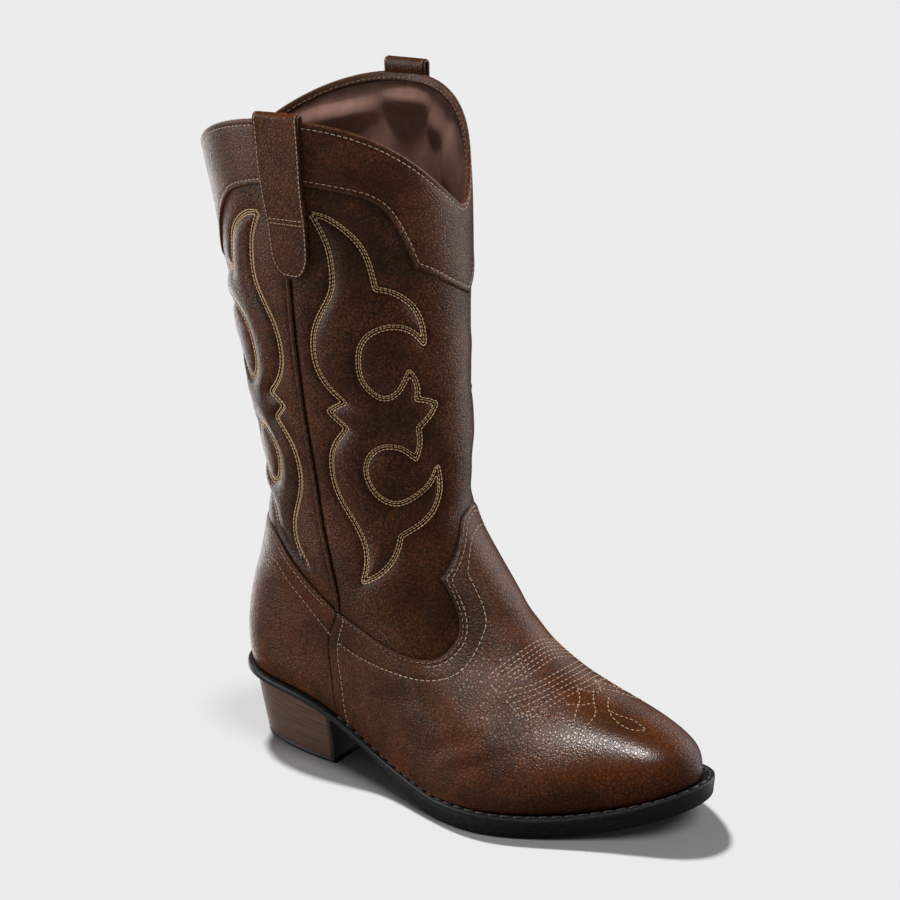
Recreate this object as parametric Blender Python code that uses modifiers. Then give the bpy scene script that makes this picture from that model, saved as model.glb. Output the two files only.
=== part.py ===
"""Western boot for the right foot: stitched upper on a welted rubber sole with a stacked heel.

The boot stands on its sole with the toe along +X, its outer (lateral) side towards -Y and +Z up.
Sizes below are in millimetres, measured from the back of the sole (x), the boot's centre line (y)
and the floor (z). The empty named boot moves everything so that the origin is on the floor under
the middle of the boot.
"""

import math

import bpy
import numpy as np

MM = 0.001

# Driving dimensions
SOLE_LENGTH = 264.0
WALL = 2.0
OVERLAY = 1.2
OVERLAY_GAP = 0.5
GAP = 0.3
WELT_HEIGHT = 2.7
INSOLE_STAND = 2.5
WELT_INSIDE = 1.0
INSOLE_INSIDE = 1.6
COLLAR_BACK = -12.0
STRAP_WIDTH = 25.0
STRAP_THICK = 2.0
STRAP_RISE = 3.0
PIPING_RADIUS = 1.1
TOP_LIFT_HEIGHT = 2.2
BREAST_THICK = 1.4

# Outline of the sole: half widths at the stations below, end radii and sideways lean of the tip
SOLE_OUTER = (31.5, 39.0, 53.0, 25.5)
SOLE_INNER = (30.0, 32.0, 45.0, 31.5)
SOLE_BACK_RADIUS = 28.0
SOLE_FRONT_RADIUS = 21.0
SOLE_TIP_LEAN = 11.8
LEAN_START = 0.45

# Side of the sole from the floor up: how far each edge is drawn in, and its lift or its drop
OUTSOLE_EDGE = ((2.2, 0.0), (0.8, 1.2))
OUTSOLE_TOP_INSET = 0.3
WELT_EDGE = ((0.0, WELT_HEIGHT), (0.0, 0.8), (0.7, 0.0))

# The boot reaches from the collar band's back to the tip of the sole, and the origin lies midway
CENTRE_X = (SOLE_LENGTH + COLLAR_BACK - OVERLAY - OVERLAY_GAP) / 2

# How finely the curved pieces are faceted
UPPER_COLUMNS = 40
SOLE_COLUMNS = 64
HEEL_POINTS = 14
COUNTER_GRID = (11, 21)
VAMP_GRID = (15, 20)
STRAP_COLUMNS = 7
PIPING_POINTS = 20
SHARP_ANGLE = math.radians(35)

# The sole along its length
# Columns: x, height of the underside, thickness of sole and welt together
SOLE_ROWS = (
    (0, 34.5, 4.0),
    (30, 33.9, 3.6),
    (55, 31.2, 3.5),
    (70, 26.7, 3.8),
    (85, 19.5, 5.0),
    (105, 10.6, 6.4),
    (125, 3.6, 9.5),
    (145, 0.0, 10.7),
    (190, 0.0, 10.7),
    (210, 1.4, 10.7),
    (237, 7.4, 10.7),
    (264, 17.0, 10.7),
)

# Widths of a slice are given at these shares of its length: heel, waist, ball and toe
STATIONS = np.array((0.12, 0.40, 0.67, 0.92))
STATION_SINES = 2 * np.sqrt(STATIONS * (1 - STATIONS))

# Slices of the foot, from the feather edge up
# Columns: back x, front x, back z, front z, back radius, front radius, half widths on the outer side,
# half widths on the inner side, sideways lean of the tip, how far the slice follows the sole
FOOT_SLICES = (
    (4.0, 257.0, 38.5, 26.0, 24, 17, (27.5, 36, 48.5, 21.5), (26, 28.0, 40.0, 24.0), 11.0, 1.0),
    (2.5, 256.5, 48.0, 34.5, 25, 18, (29.0, 37, 49.5, 23.0), (28, 27.5, 41.0, 25.5), 11.0, 1.0),
    (2.2, 251.5, 60.0, 44.0, 25, 15, (28.5, 37, 47.5, 22.0), (28, 27.5, 39.0, 24.0), 10.5, 0.95),
    (3.5, 233.5, 72.0, 53.0, 24, 13, (28.0, 36, 44.0, 20.0), (27, 27.5, 36.5, 21.5), 9.5, 0.8),
    (6.0, 206.0, 84.0, 62.0, 23, 12, (27.0, 35, 40.0, 18.5), (26, 28, 34, 18.0), 7.0, 0.6),
    (10.0, 175.0, 97.0, 80.0, 22, 14, (26.0, 35, 37.0, 18.0), (25.5, 29, 32, 17.0), 4.0, 0.35),
    (14.0, 152.5, 112.0, 109.0, 21, 16, (25.5, 36, 35.0, 18.0), (25, 31, 31, 17.0), 1.5, 0.12),
)

# Slices of the shaft, which are ellipses
# Columns: back x, front x, back z, front z, outer half width, inner half width, how far the slice
# follows the collar's edge
SHAFT_SLICES = (
    (16.5, 133.0, 134, 139, 35.5, 33.5, 0.0),
    (12.5, 131.5, 163, 168, 36.5, 35.5, 0.0),
    (5.0, 130.3, 200, 205, 40.0, 39.5, 0.0),
    (-1.5, 129.0, 240, 243, 44.5, 44.5, 0.0),
    (-4.5, 128.0, 275, 272, 49.0, 49.0, 0.3),
    (COLLAR_BACK, 126.5, 303, 296, 53.0, 53.0, 1.0),
)
TOP_SLICE = len(FOOT_SLICES) + len(SHAFT_SLICES) - 1

# Height of the collar's edge by the angle round the slice, 0 at the back and 180 at the front; its
# front dip lies a little towards the inner side
COLLAR_EDGE = (
    (0, 303), (14, 306), (35, 317.5), (63, 332), (100, 340), (130, 335), (155, 320), (171, 306.5),
    (181, 298.5), (190, 294), (199, 300), (212, 316.5), (230, 332.5), (250, 340), (266, 340.5),
    (297, 332.5), (325, 317.5), (346, 306), (360, 303),
)

# Rows of the upper, as slice numbers: close at the toe and the throat, where it turns most
UPPER_LEVELS = np.concatenate([
    np.arange(0, 2, 0.5), np.arange(2, 5, 1 / 3), np.arange(5, 7.6, 0.25), (8, 9, 10),
    (11, 11.35, 11.7, TOP_SLICE),
])

# Pattern lines on the upper, as angle round the slice and slice number
SIDE_SEAM = (
    (64, 0), (64, 1.8), (73.5, 4.3), (80, 4.95), (84, 6),
    (84.5, 7.4), (84, 8.4), (86.5, 9.3), (90, 10.5),
)
COUNTER_TOP = ((0, 6.5), (24, 6.48), (46, 6.35), (61, 5.9), (70, 5.42), (80, 4.95))
VAMP_TOP = (
    (80, 4.95), (95, 4.82), (108, 4.7), (114, 4.72), (120, 4.83), (126, 5.02), (132, 5.25),
    (136.5, 5.55), (139, 5.85), (139, 6.2), (145, 6.38), (155, 6.63), (164, 6.9), (172, 7.12),
    (180, 7.18),
)
BAND_EDGE = (
    (0, 10.4), (15, 10.6), (29, 10.78), (36, 11.07), (45, 11.25), (63, 11.37), (80, 11.42), (104, 11.47),
    (119, 11.43), (127, 11.38), (135, 11.28), (144, 11.07), (150, 10.77), (165, 10.61), (180, 10.37),
)
STRAP_LINE = ((92.6, 10.5), (93.9, 11), (94.4, 11.4), (96.2, 12))

# Overlays stop short of the seam by this angle and start this little above the feather edge
SEAM_CLEARANCE = 0.3
FEATHER_START = 0.01
# Degrees are weighed against slice numbers by this much when points are spread along a line
DEGREE_WEIGHT = 0.02

# Slice numbers of the strap where it lies on the shaft and on the collar band, and the shares of its
# width at its rounded end; then the piping's first and last slice number
STRAP_ON_SHAFT = (10.52, 10.6, 10.75, 10.95, 11.1)
STRAP_ON_BAND = (11.3, 11.5, 11.75)
STRAP_END = (0.25, 0.62, 0.92)
STRAP_LOOP_TURNS = np.radians(np.arange(0, 181, 30))
PIPING_RUN = (5.12, 10.42)

# Angles of the collar band's columns on one side, close where its lower edge turns
BAND_COLUMNS = np.array([
    0, 8, 15, 22, 29, 33, 37, 45, 55, 66, 79, 92, 104, 114, 122, 130, 137, 144, 150, 157, 165, 172,
])
BAND_ROWS = 4

# Heel block, whose breast stands upright
# Columns: share of the height, back x, half width at the breast
HEEL_ROWS = (
    (0.0, 9.0, 29.2),
    (0.5, 5.6, 30.6),
    (1.0, 3.2, 33.0),
)
HEEL_BREAST = 68.5
HEEL_ROUND = 2.2

COLOURS = {
    "upper_leather": ((0.105, 0.045, 0.022, 1), 0.5),
    "vamp_leather": ((0.12, 0.052, 0.026, 1), 0.45),
    "black_rubber": ((0.012, 0.012, 0.013, 1), 0.55),
    "heel_stack": ((0.12, 0.065, 0.04, 1), 0.55),
    "insole_cloth": ((0.13, 0.085, 0.07, 1), 0.8),
}


def spline(knots, values, at):
    """Smooth curve through values at knots: a natural cubic spline, for columns of values too."""
    knots = np.asarray(knots, float)
    values = np.asarray(values, float)
    step = np.diff(knots)
    matrix = np.eye(len(knots))
    right = np.zeros_like(values)
    for i in range(1, len(knots) - 1):
        matrix[i, i - 1:i + 2] = step[i - 1], 2 * (step[i - 1] + step[i]), step[i]
        right[i] = 6 * ((values[i + 1] - values[i]) / step[i] - (values[i] - values[i - 1]) / step[i - 1])
    bend = np.linalg.solve(matrix, right)
    at = np.asarray(at, float)
    i = np.clip(np.searchsorted(knots, at, side="right") - 1, 0, len(knots) - 2)
    width = step[i]
    before = (knots[i + 1] - at) / width
    after = (at - knots[i]) / width
    if values.ndim > 1:
        width, before, after = width[..., None], before[..., None], after[..., None]
    curve = (before ** 3 - before) * bend[i] + (after ** 3 - after) * bend[i + 1]
    return before * values[i] + after * values[i + 1] + curve * width ** 2 / 6


def column(rows, number):
    return np.array([row[number] for row in rows], float)


def underside(x):
    """Height of the sole's underside: flat on the floor at the ball, up over the arch and at the toe."""
    along = np.clip(x, 0, SOLE_LENGTH)
    return np.maximum(spline(column(SOLE_ROWS, 0), column(SOLE_ROWS, 1), along), 0)


def welt_top(x):
    """Height of the welt's upper face, on which the upper stands."""
    along = np.clip(x, 0, SOLE_LENGTH)
    return underside(x) + spline(column(SOLE_ROWS, 0), column(SOLE_ROWS, 2), along)


def slice_table():
    """One row of numbers for each slice of the upper, foot slices first."""
    rows = []
    for back_x, front_x, back_z, front_z, back_r, front_r, outer, inner, lean, follow in FOOT_SLICES:
        rows.append((back_x, front_x, back_z, front_z, back_r, front_r, *outer, *inner, lean, follow, 0))
    for back_x, front_x, back_z, front_z, outer, inner, scallop in SHAFT_SLICES:
        radius = 2 * outer ** 2 / (front_x - back_x)
        widths = (*(outer * STATION_SINES), *(inner * STATION_SINES))
        rows.append((back_x, front_x, back_z, front_z, radius, radius, *widths, 0, 0, scallop))
    table = np.array(rows, float)
    table[0, 2] = welt_top(table[0, 0]) + GAP
    table[0, 3] = welt_top(table[0, 1]) + GAP
    return table


SLICES = slice_table()


def tip_lean(share, lean):
    """Sideways lean of a slice, growing from before its middle to the tip."""
    return lean * np.clip((share - LEAN_START) / (1 - LEAN_START), 0, 1) ** 2


def slice_sides(share, length, back_radius, front_radius, outer, inner, sine):
    """Half width of a slice at a share of its length: a smooth fullness times the sine of its angle."""
    knots = np.concatenate([[0], STATIONS, [1]])
    basis = spline(knots, np.eye(len(knots)), share)
    back = np.sqrt(back_radius * length / 2)[..., None]
    front = np.sqrt(front_radius * length / 2)[..., None]
    widths = np.where(sine[..., None] >= 0, outer, inner) / STATION_SINES
    return (basis * np.concatenate([back, widths, front], -1)).sum(-1) * sine


def collar_height(angle):
    """Height of the collar's edge at an angle round the slice."""
    return spline(column(COLLAR_EDGE, 0), column(COLLAR_EDGE, 1), np.degrees(angle) % 360)


def upper_point(degrees, level):
    """Points on the upper's outer face, at an angle round the slice and at a slice number."""
    degrees, level = np.broadcast_arrays(np.asarray(degrees, float), np.asarray(level, float))
    angle = np.radians(degrees)
    row = spline(np.arange(TOP_SLICE + 1), SLICES, level)
    back_x, front_x, back_z, front_z, back_radius, front_radius = np.moveaxis(row[..., :6], -1, 0)
    lean, follow, scallop = np.moveaxis(row[..., 14:], -1, 0)
    share = (1 - np.cos(angle)) / 2
    length = front_x - back_x
    x = back_x + length * share
    outer = row[..., 6:10]
    inner = row[..., 10:14]
    side = slice_sides(share, length, back_radius, front_radius, outer, inner, np.sin(angle))
    y = tip_lean(share, lean) - side
    sole_line = welt_top(back_x) + (welt_top(front_x) - welt_top(back_x)) * share
    edge_line = SLICES[-1, 2] + (SLICES[-1, 3] - SLICES[-1, 2]) * share
    z = back_z + (front_z - back_z) * share
    z = z + follow * (welt_top(x) - sole_line) + scallop * (collar_height(angle) - edge_line)
    return np.stack([x, y, z], -1)


def upper_frame(degrees, level):
    """Points of the upper with the outward normal and the upward direction there."""
    degrees = np.asarray(degrees, float)
    level = np.asarray(level, float)
    here = upper_point(degrees, level)
    small = 0.05
    low = np.clip(level - small, 0, TOP_SLICE)
    high = np.clip(level + small, 0, TOP_SLICE)
    round_way = upper_point(degrees + small, level) - upper_point(degrees - small, level)
    upward = upper_point(degrees, high) - upper_point(degrees, low)
    normal = np.cross(round_way, upward)
    normal /= np.linalg.norm(normal, axis=-1, keepdims=True)
    upward /= np.linalg.norm(upward, axis=-1, keepdims=True)
    return here, normal, upward


def outline(back_x, front_x, back_radius, front_radius, outer, inner, lean, inset):
    """Outline of a sole seen from above, drawn in by inset, from the back round the outer side."""
    angle = np.arange(SOLE_COLUMNS) / SOLE_COLUMNS * 2 * np.pi
    share = (1 - np.cos(angle)) / 2
    length = np.full_like(share, front_x - back_x - 2 * inset)
    back_radius = np.full_like(share, back_radius - inset)
    front_radius = np.full_like(share, front_radius - inset)
    outer = np.array(outer) - inset
    inner = np.array(inner) - inset
    side = slice_sides(share, length, back_radius, front_radius, outer, inner, np.sin(angle))
    return back_x + inset + length * share, tip_lean(share, lean) - side


def sole_loop(inset):
    """Outline of the sole's edge, drawn in by inset."""
    radii = (SOLE_BACK_RADIUS, SOLE_FRONT_RADIUS)
    return outline(0, SOLE_LENGTH, *radii, SOLE_OUTER, SOLE_INNER, SOLE_TIP_LEAN, inset)


def feather_loop(inset):
    """Outline of the upper's lower edge, drawn in by inset."""
    row = SLICES[0]
    return outline(row[0], row[1], row[4], row[5], row[6:10], row[10:14], row[14], inset)


# Meshes

boot_parts = None
boot_empty = None


def start_scene():
    """Empties the scene and makes the collection and the empty that carry the parts."""
    global boot_parts, boot_empty
    for old in list(bpy.data.objects):
        bpy.data.objects.remove(old)
    boot_parts = bpy.data.collections.new("western_boot")
    bpy.context.scene.collection.children.link(boot_parts)
    boot_empty = bpy.data.objects.new("boot", None)
    boot_empty.location = (-CENTRE_X * MM, 0, 0)
    boot_parts.objects.link(boot_empty)


def material(name):
    """The named finish as a Principled BSDF, made once."""
    found = bpy.data.materials.get(name)
    if found:
        return found
    colour, roughness = COLOURS[name]
    made = bpy.data.materials.new(name)
    made.use_nodes = True
    shader = made.node_tree.nodes["Principled BSDF"]
    shader.inputs["Base Color"].default_value = colour
    shader.inputs["Roughness"].default_value = roughness
    shader.inputs["Metallic"].default_value = 0.0
    return made


def add_part(name, data, finish):
    """A named object in the boot's collection, carried by its empty."""
    data.materials.append(material(finish))
    part = bpy.data.objects.new(name, data)
    part.parent = boot_empty
    boot_parts.objects.link(part)
    return part


def add_mesh(name, points, faces, finish):
    mesh = bpy.data.meshes.new(name)
    mesh.from_pydata((np.asarray(points).reshape(-1, 3) * MM).tolist(), [], faces)
    mesh.shade_smooth()
    mesh.set_sharp_from_angle(angle=SHARP_ANGLE)
    return add_part(name, mesh, finish)


def solidify(part, thickness, offset):
    wall = part.modifiers.new("wall", "SOLIDIFY")
    wall.thickness = thickness * MM
    wall.offset = offset
    wall.use_even_offset = True
    return part


def grid_faces(rows, columns, closed):
    """Quads of a grid of points; a closed grid joins its last column to its first."""
    faces = []
    for i in range(rows - 1):
        for j in range(columns if closed else columns - 1):
            k = (j + 1) % columns
            faces.append((i * columns + j, i * columns + k, (i + 1) * columns + k, (i + 1) * columns + j))
    return faces


def cap_faces(count, start):
    """Strips across a loop of points, from its first point to the opposite end, facing up."""
    faces = [(start, start + 1, start + count - 1)]
    for k in range(1, (count - 1) // 2):
        faces.append((start + k, start + k + 1, start + count - k - 1, start + count - k))
    if count % 2 == 0:
        half = count // 2
        faces.append((start + half - 1, start + half, start + half + 1))
    return faces


def stacked_solid(name, loops, finish):
    """A solid through loops of points from bottom to top, closed by strips across both ends."""
    count = len(loops[0])
    faces = grid_faces(len(loops), count, closed=True)
    faces += [face[::-1] for face in cap_faces(count, 0)]
    faces += cap_faces(count, (len(loops) - 1) * count)
    return add_mesh(name, np.concatenate(loops), faces, finish)


# Sole

def add_outsole():
    """Rubber sole with its arch, toe spring, flat tread at the ball and a rounded lower edge."""
    loops = []
    for inset, lift in OUTSOLE_EDGE:
        x, y = sole_loop(inset)
        loops.append(np.stack([x, y, underside(x) + lift], -1))
    x, y = sole_loop(OUTSOLE_TOP_INSET)
    loops.append(np.stack([x, y, welt_top(x) - WELT_HEIGHT - GAP], -1))
    stacked_solid("outsole", loops, "black_rubber")


def add_welt():
    """Rubber welt all round the boot: a ring from the sole's edge to just inside the upper's wall."""
    ring = []
    for inset, drop in WELT_EDGE:
        x, y = sole_loop(inset)
        ring.append(np.stack([x, y, welt_top(x) - drop], -1))
    for drop in (0.0, WELT_HEIGHT):
        x, y = feather_loop(WALL + WELT_INSIDE)
        ring.append(np.stack([x, y, welt_top(x) - drop], -1))
    ring.append(ring[0])
    faces = grid_faces(len(ring), SOLE_COLUMNS, closed=True)
    joined = (len(ring) - 1) * SOLE_COLUMNS
    faces = [tuple(k % joined for k in face) for face in faces]
    add_mesh("welt", np.concatenate(ring[:-1]), faces, "black_rubber")


def add_insole():
    """Padded insole inside the welt, standing a little above it."""
    x, y = feather_loop(WALL + INSOLE_INSIDE)
    low = np.stack([x, y, welt_top(x) - WELT_HEIGHT], -1)
    high = np.stack([x, y, welt_top(x) + INSOLE_STAND], -1)
    stacked_solid("insole", [low, high], "insole_cloth")


# Heel

def heel_loop(back_x, half_width):
    """Outline of the heel at the floor: a rounded back running into straight sides at the breast."""
    run = 1 - np.cos(np.linspace(0, np.pi / 2, HEEL_POINTS))
    half = half_width * np.sqrt(1 - (1 - run) ** HEEL_ROUND)
    x = back_x + (HEEL_BREAST - back_x) * run
    x = np.concatenate([x, x[:0:-1]])
    y = np.concatenate([-half, half[:0:-1]])
    return np.stack([x, y, np.zeros_like(x)], -1)


def add_heel():
    """Stacked heel under the seat, its black breast plate in front and the top lift on the floor."""
    stack_foot = TOP_LIFT_HEIGHT + GAP
    loops = []
    for share, back_x, half_width in HEEL_ROWS:
        loop = heel_loop(back_x, half_width)
        seat = underside(loop[:, 0]) - GAP
        loop[:, 2] = stack_foot + (seat - stack_foot) * share
        loops.append(loop)
    stacked_solid("heel_stack", loops, "heel_stack")

    low = heel_loop(*HEEL_ROWS[0][1:])
    front_points = np.isclose(low[:, 0], HEEL_BREAST)
    low[front_points, 0] += GAP + BREAST_THICK
    high = low.copy()
    high[:, 2] = TOP_LIFT_HEIGHT
    stacked_solid("heel_top_lift", [low, high], "black_rubber")

    front = HEEL_BREAST + GAP
    low_half = HEEL_ROWS[0][2]
    top_half = HEEL_ROWS[-1][2]
    corners = []
    for x in (front, front + BREAST_THICK):
        seat = underside(np.array(x)) - GAP
        corners += [(x, -low_half, stack_foot), (x, low_half, stack_foot)]
        corners += [(x, top_half, seat), (x, -top_half, seat)]
    faces = [(3, 2, 1, 0), (4, 5, 6, 7), (0, 1, 5, 4), (1, 2, 6, 5), (2, 3, 7, 6), (3, 0, 4, 7)]
    add_mesh("heel_breast", corners, faces, "black_rubber")


# Upper and what is sewn on it

def add_upper():
    """The upper: one hollow wall from the welt to the scalloped collar, open at both ends."""
    turn = np.arange(UPPER_COLUMNS) / UPPER_COLUMNS * 360
    degrees, level = np.meshgrid(turn, UPPER_LEVELS)
    points = upper_point(degrees, level)
    faces = grid_faces(*degrees.shape, closed=True)
    solidify(add_mesh("upper", points, faces, "upper_leather"), WALL, -1)


def overlay(name, degrees, level, finish, closed=False):
    """A piece of leather laid on the upper over a grid of angles and slice numbers."""
    point, normal, _ = upper_frame(degrees, level)
    faces = grid_faces(*degrees.shape, closed=closed)
    solidify(add_mesh(name, point + normal * OVERLAY_GAP, faces, finish), OVERLAY, 1)


def seam_angle(level):
    return spline(column(SIDE_SEAM, 1), column(SIDE_SEAM, 0), level)


def along_line(line, count):
    """Evenly placed points along a pattern line, keeping its corners."""
    line = np.array(line, float)
    steps = np.hypot(*(np.diff(line, axis=0) * (DEGREE_WEIGHT, 1)).T)
    length = np.concatenate([[0], np.cumsum(steps)])
    at = np.linspace(0, length[-1], count)
    return np.interp(at, length, line[:, 0]), np.interp(at, length, line[:, 1])


def add_counter():
    """Heel counter: from seam to seam round the back, up to its dipping top edge."""
    rows, columns = COUNTER_GRID
    share, height = np.meshgrid(np.linspace(-1, 1, columns), np.linspace(FEATHER_START, 1, rows))
    corner_angle, corner_level = COUNTER_TOP[-1]
    degrees = share * (seam_angle(height * corner_level) - SEAM_CLEARANCE)
    top = np.interp(np.abs(share) * corner_angle, column(COUNTER_TOP, 0), column(COUNTER_TOP, 1))
    overlay("counter", degrees, height * top, "vamp_leather")


def add_vamp():
    """Vamp: from seam to seam round the toe, up to the notched edge and the tongue at the throat."""
    rows, columns = VAMP_GRID
    top_angle, top_level = along_line(VAMP_TOP, columns)
    share = np.linspace(0, 1, columns)
    height = np.linspace(FEATHER_START, 1, rows)[:, None]
    low_angle = SIDE_SEAM[0][0]
    start_angle, start_level = VAMP_TOP[0]
    feather = low_angle + (180 - low_angle) * share
    straight = (1 - height) * low_angle + height * start_angle
    bow = seam_angle(height * start_level) + SEAM_CLEARANCE - straight
    degrees = (1 - height) * feather + height * top_angle + (1 - share) ** 2 * bow
    level = height * top_level + 0 * share
    degrees = np.concatenate([degrees, 360 - degrees[:, -2::-1]], axis=1)
    level = np.concatenate([level, level[:, -2::-1]], axis=1)
    overlay("vamp", degrees, level, "vamp_leather")


def add_collar_band():
    """Collar band: round the whole collar, with a pointed lower edge at the front and the back."""
    turn = np.concatenate([BAND_COLUMNS, [180], 360 - BAND_COLUMNS[:0:-1]])
    low = np.interp(180 - np.abs(turn - 180), column(BAND_EDGE, 0), column(BAND_EDGE, 1))
    share = np.linspace(0, 1, BAND_ROWS)[:, None]
    level = low + (TOP_SLICE - low) * share
    overlay("collar_band", turn + 0 * share, level, "vamp_leather", closed=True)


def strap_path():
    """The pull strap along its length: slice number, distance off the upper, height over the collar."""
    over_band = OVERLAY_GAP + OVERLAY + GAP + STRAP_THICK / 2
    on_shaft = OVERLAY_GAP + STRAP_THICK / 2
    outside = [(level, on_shaft, 0) for level in STRAP_ON_SHAFT]
    outside += [(level, over_band, 0) for level in STRAP_ON_BAND]
    within = -WALL / 2
    radius = (over_band - within) / 2
    loop = []
    for turn in STRAP_LOOP_TURNS:
        off = (over_band + within) / 2 + radius * math.cos(turn)
        loop.append((TOP_SLICE, off, STRAP_RISE + radius * math.sin(turn)))
    return np.array(outside + loop + [(TOP_SLICE, within, GAP)])


def add_strap(name, side):
    """Pull strap: sewn into the collar's edge, looped over it and down the outside to a rounded end."""
    path = strap_path()
    across = np.linspace(-1, 1, STRAP_COLUMNS)
    middle = spline(column(STRAP_LINE, 1), column(STRAP_LINE, 0), path[:, 0])
    width = np.concatenate([STRAP_END, np.ones(len(path) - len(STRAP_END))]) * STRAP_WIDTH / 2
    level = np.repeat(path[:, :1], len(across), axis=1)
    one_degree = upper_point(middle + 1, path[:, 0]) - upper_point(middle, path[:, 0])
    mm_per_degree = np.linalg.norm(one_degree, axis=-1)
    degrees = middle[:, None] + across * (width / mm_per_degree)[:, None]
    if side < 0:
        degrees = 360 - degrees
    point, normal, upward = upper_frame(degrees, level)
    centre = point + normal * path[:, 1, None, None] + upward * path[:, 2, None, None]
    faces = grid_faces(*level.shape, closed=False)
    solidify(add_mesh(name, centre, faces, "vamp_leather"), STRAP_THICK, 0)


def add_piping(name, side):
    """Corded side seam: a thin welt of leather from the counter up to the end of the strap."""
    level = np.linspace(*PIPING_RUN, PIPING_POINTS)
    degrees = seam_angle(level)
    if side < 0:
        degrees = 360 - degrees
    point, normal, _ = upper_frame(degrees, level)
    centre = point + normal * (PIPING_RADIUS + OVERLAY_GAP)
    curve = bpy.data.curves.new(name, "CURVE")
    curve.dimensions = "3D"
    curve.bevel_depth = PIPING_RADIUS * MM
    curve.bevel_resolution = 2
    curve.use_fill_caps = True
    line = curve.splines.new("POLY")
    line.points.add(len(centre) - 1)
    for knot, place in zip(line.points, centre * MM):
        knot.co = (*place, 1)
    add_part(name, curve, "vamp_leather")


def main():
    start_scene()
    add_outsole()
    add_welt()
    add_heel()
    add_insole()
    add_upper()
    add_counter()
    add_vamp()
    add_collar_band()
    for side_name, side in (("outer", 1), ("inner", -1)):
        add_strap(f"pull_strap_{side_name}", side)
        add_piping(f"side_piping_{side_name}", side)


main()
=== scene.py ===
# %% [markdown]
# # Dressing a western boot
#
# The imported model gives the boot's solids, and this lesson gives it its looks. The frame is loaded
# first and is never moved: every new piece is worked out on the same surface as the solid it stands
# for, so nothing has to be fitted by hand.

import bpy
import numpy as np
from mathutils import Matrix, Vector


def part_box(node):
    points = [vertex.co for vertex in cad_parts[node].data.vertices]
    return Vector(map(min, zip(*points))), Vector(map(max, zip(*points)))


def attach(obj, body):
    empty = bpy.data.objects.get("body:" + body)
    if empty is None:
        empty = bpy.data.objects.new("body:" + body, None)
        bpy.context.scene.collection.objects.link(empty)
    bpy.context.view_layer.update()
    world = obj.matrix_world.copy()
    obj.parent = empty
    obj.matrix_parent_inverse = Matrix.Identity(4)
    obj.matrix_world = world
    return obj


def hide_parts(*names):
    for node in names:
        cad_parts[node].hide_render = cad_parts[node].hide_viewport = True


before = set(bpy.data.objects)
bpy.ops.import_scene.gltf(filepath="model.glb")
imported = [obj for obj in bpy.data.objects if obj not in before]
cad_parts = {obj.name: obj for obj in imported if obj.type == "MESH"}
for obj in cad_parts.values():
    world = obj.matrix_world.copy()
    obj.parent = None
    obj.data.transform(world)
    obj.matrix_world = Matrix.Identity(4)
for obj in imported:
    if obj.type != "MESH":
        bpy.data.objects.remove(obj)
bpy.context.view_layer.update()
MM = 0.001
SOLE_BACK = np.array((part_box("welt")[0].x / MM, 0.0, 0.0))
print("nodes:", sorted(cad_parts))

# %% [markdown]
# ## The shape of the foot and the leg
#
# A boot is sewn over a last, a wooden foot. Its skin could be sculpted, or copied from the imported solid,
# but then every seam would have to be drawn on it by hand. We describe it as closed slices instead, from
# the feather edge (slice 0, where the upper meets the welt) to the collar (slice 12). A point on the skin
# is then a function of two parameters: the angle round the slice, 0 at the back and 180 at the front, and
# the slice number. Lengths are millimetres from the back of the sole, so the sizes read like a shoemaker's.

# %% Sizes of the last
SOLE_LENGTH = 264.0
# Half widths at the stations along the sole, and radii of its back and front end
SOLE_OUTER = (31.5, 39.0, 53.0, 25.5)
SOLE_INNER = (30.0, 32.0, 45.0, 31.5)
SOLE_RADII = (28.0, 21.0)
SOLE_TIP_LEAN = 11.8
LEAN_START = 0.45
STATIONS = np.array((0.12, 0.40, 0.67, 0.92))
STATION_SINES = 2 * np.sqrt(STATIONS * (1 - STATIONS))

# Columns: x, height of the sole's underside, thickness of sole and welt together
SOLE_ROWS = np.array((
    (0, 34.5, 4.0), (30, 33.9, 3.6), (55, 31.2, 3.5), (70, 26.7, 3.8), (85, 19.5, 5.0), (105, 10.6, 6.4),
    (125, 3.6, 9.5), (145, 0.0, 10.7), (190, 0.0, 10.7), (210, 1.4, 10.7), (237, 7.4, 10.7),
    (264, 17.0, 10.7),
))

# Columns: back x, front x, back z, front z, back radius, front radius, half widths on the outer side,
# half widths on the inner side, sideways lean of the tip, how far the slice follows the sole
FOOT_SLICES = (
    (4.0, 257.0, 38.8, 25.5, 24, 17, (27.5, 36, 48.5, 21.5), (26, 28.0, 40.0, 24.0), 11.0, 1.0),
    (2.5, 256.5, 48.0, 34.5, 25, 18, (29.0, 37, 49.5, 23.0), (28, 27.5, 41.0, 25.5), 11.0, 1.0),
    (2.2, 251.5, 60.0, 44.0, 25, 15, (28.5, 37, 47.5, 22.0), (28, 27.5, 39.0, 24.0), 10.5, 0.95),
    (3.5, 233.5, 72.0, 53.0, 24, 13, (28.0, 36, 44.0, 20.0), (27, 27.5, 36.5, 21.5), 9.5, 0.8),
    (6.0, 206.0, 84.0, 62.0, 23, 12, (27.0, 35, 40.0, 18.5), (26, 28, 34, 18.0), 7.0, 0.6),
    (10.0, 175.0, 97.0, 80.0, 22, 14, (26.0, 35, 37.0, 18.0), (25.5, 29, 32, 17.0), 4.0, 0.35),
    (14.0, 152.5, 112.0, 109.0, 21, 16, (25.5, 36, 35.0, 18.0), (25, 31, 31, 17.0), 1.5, 0.12),
)

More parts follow.
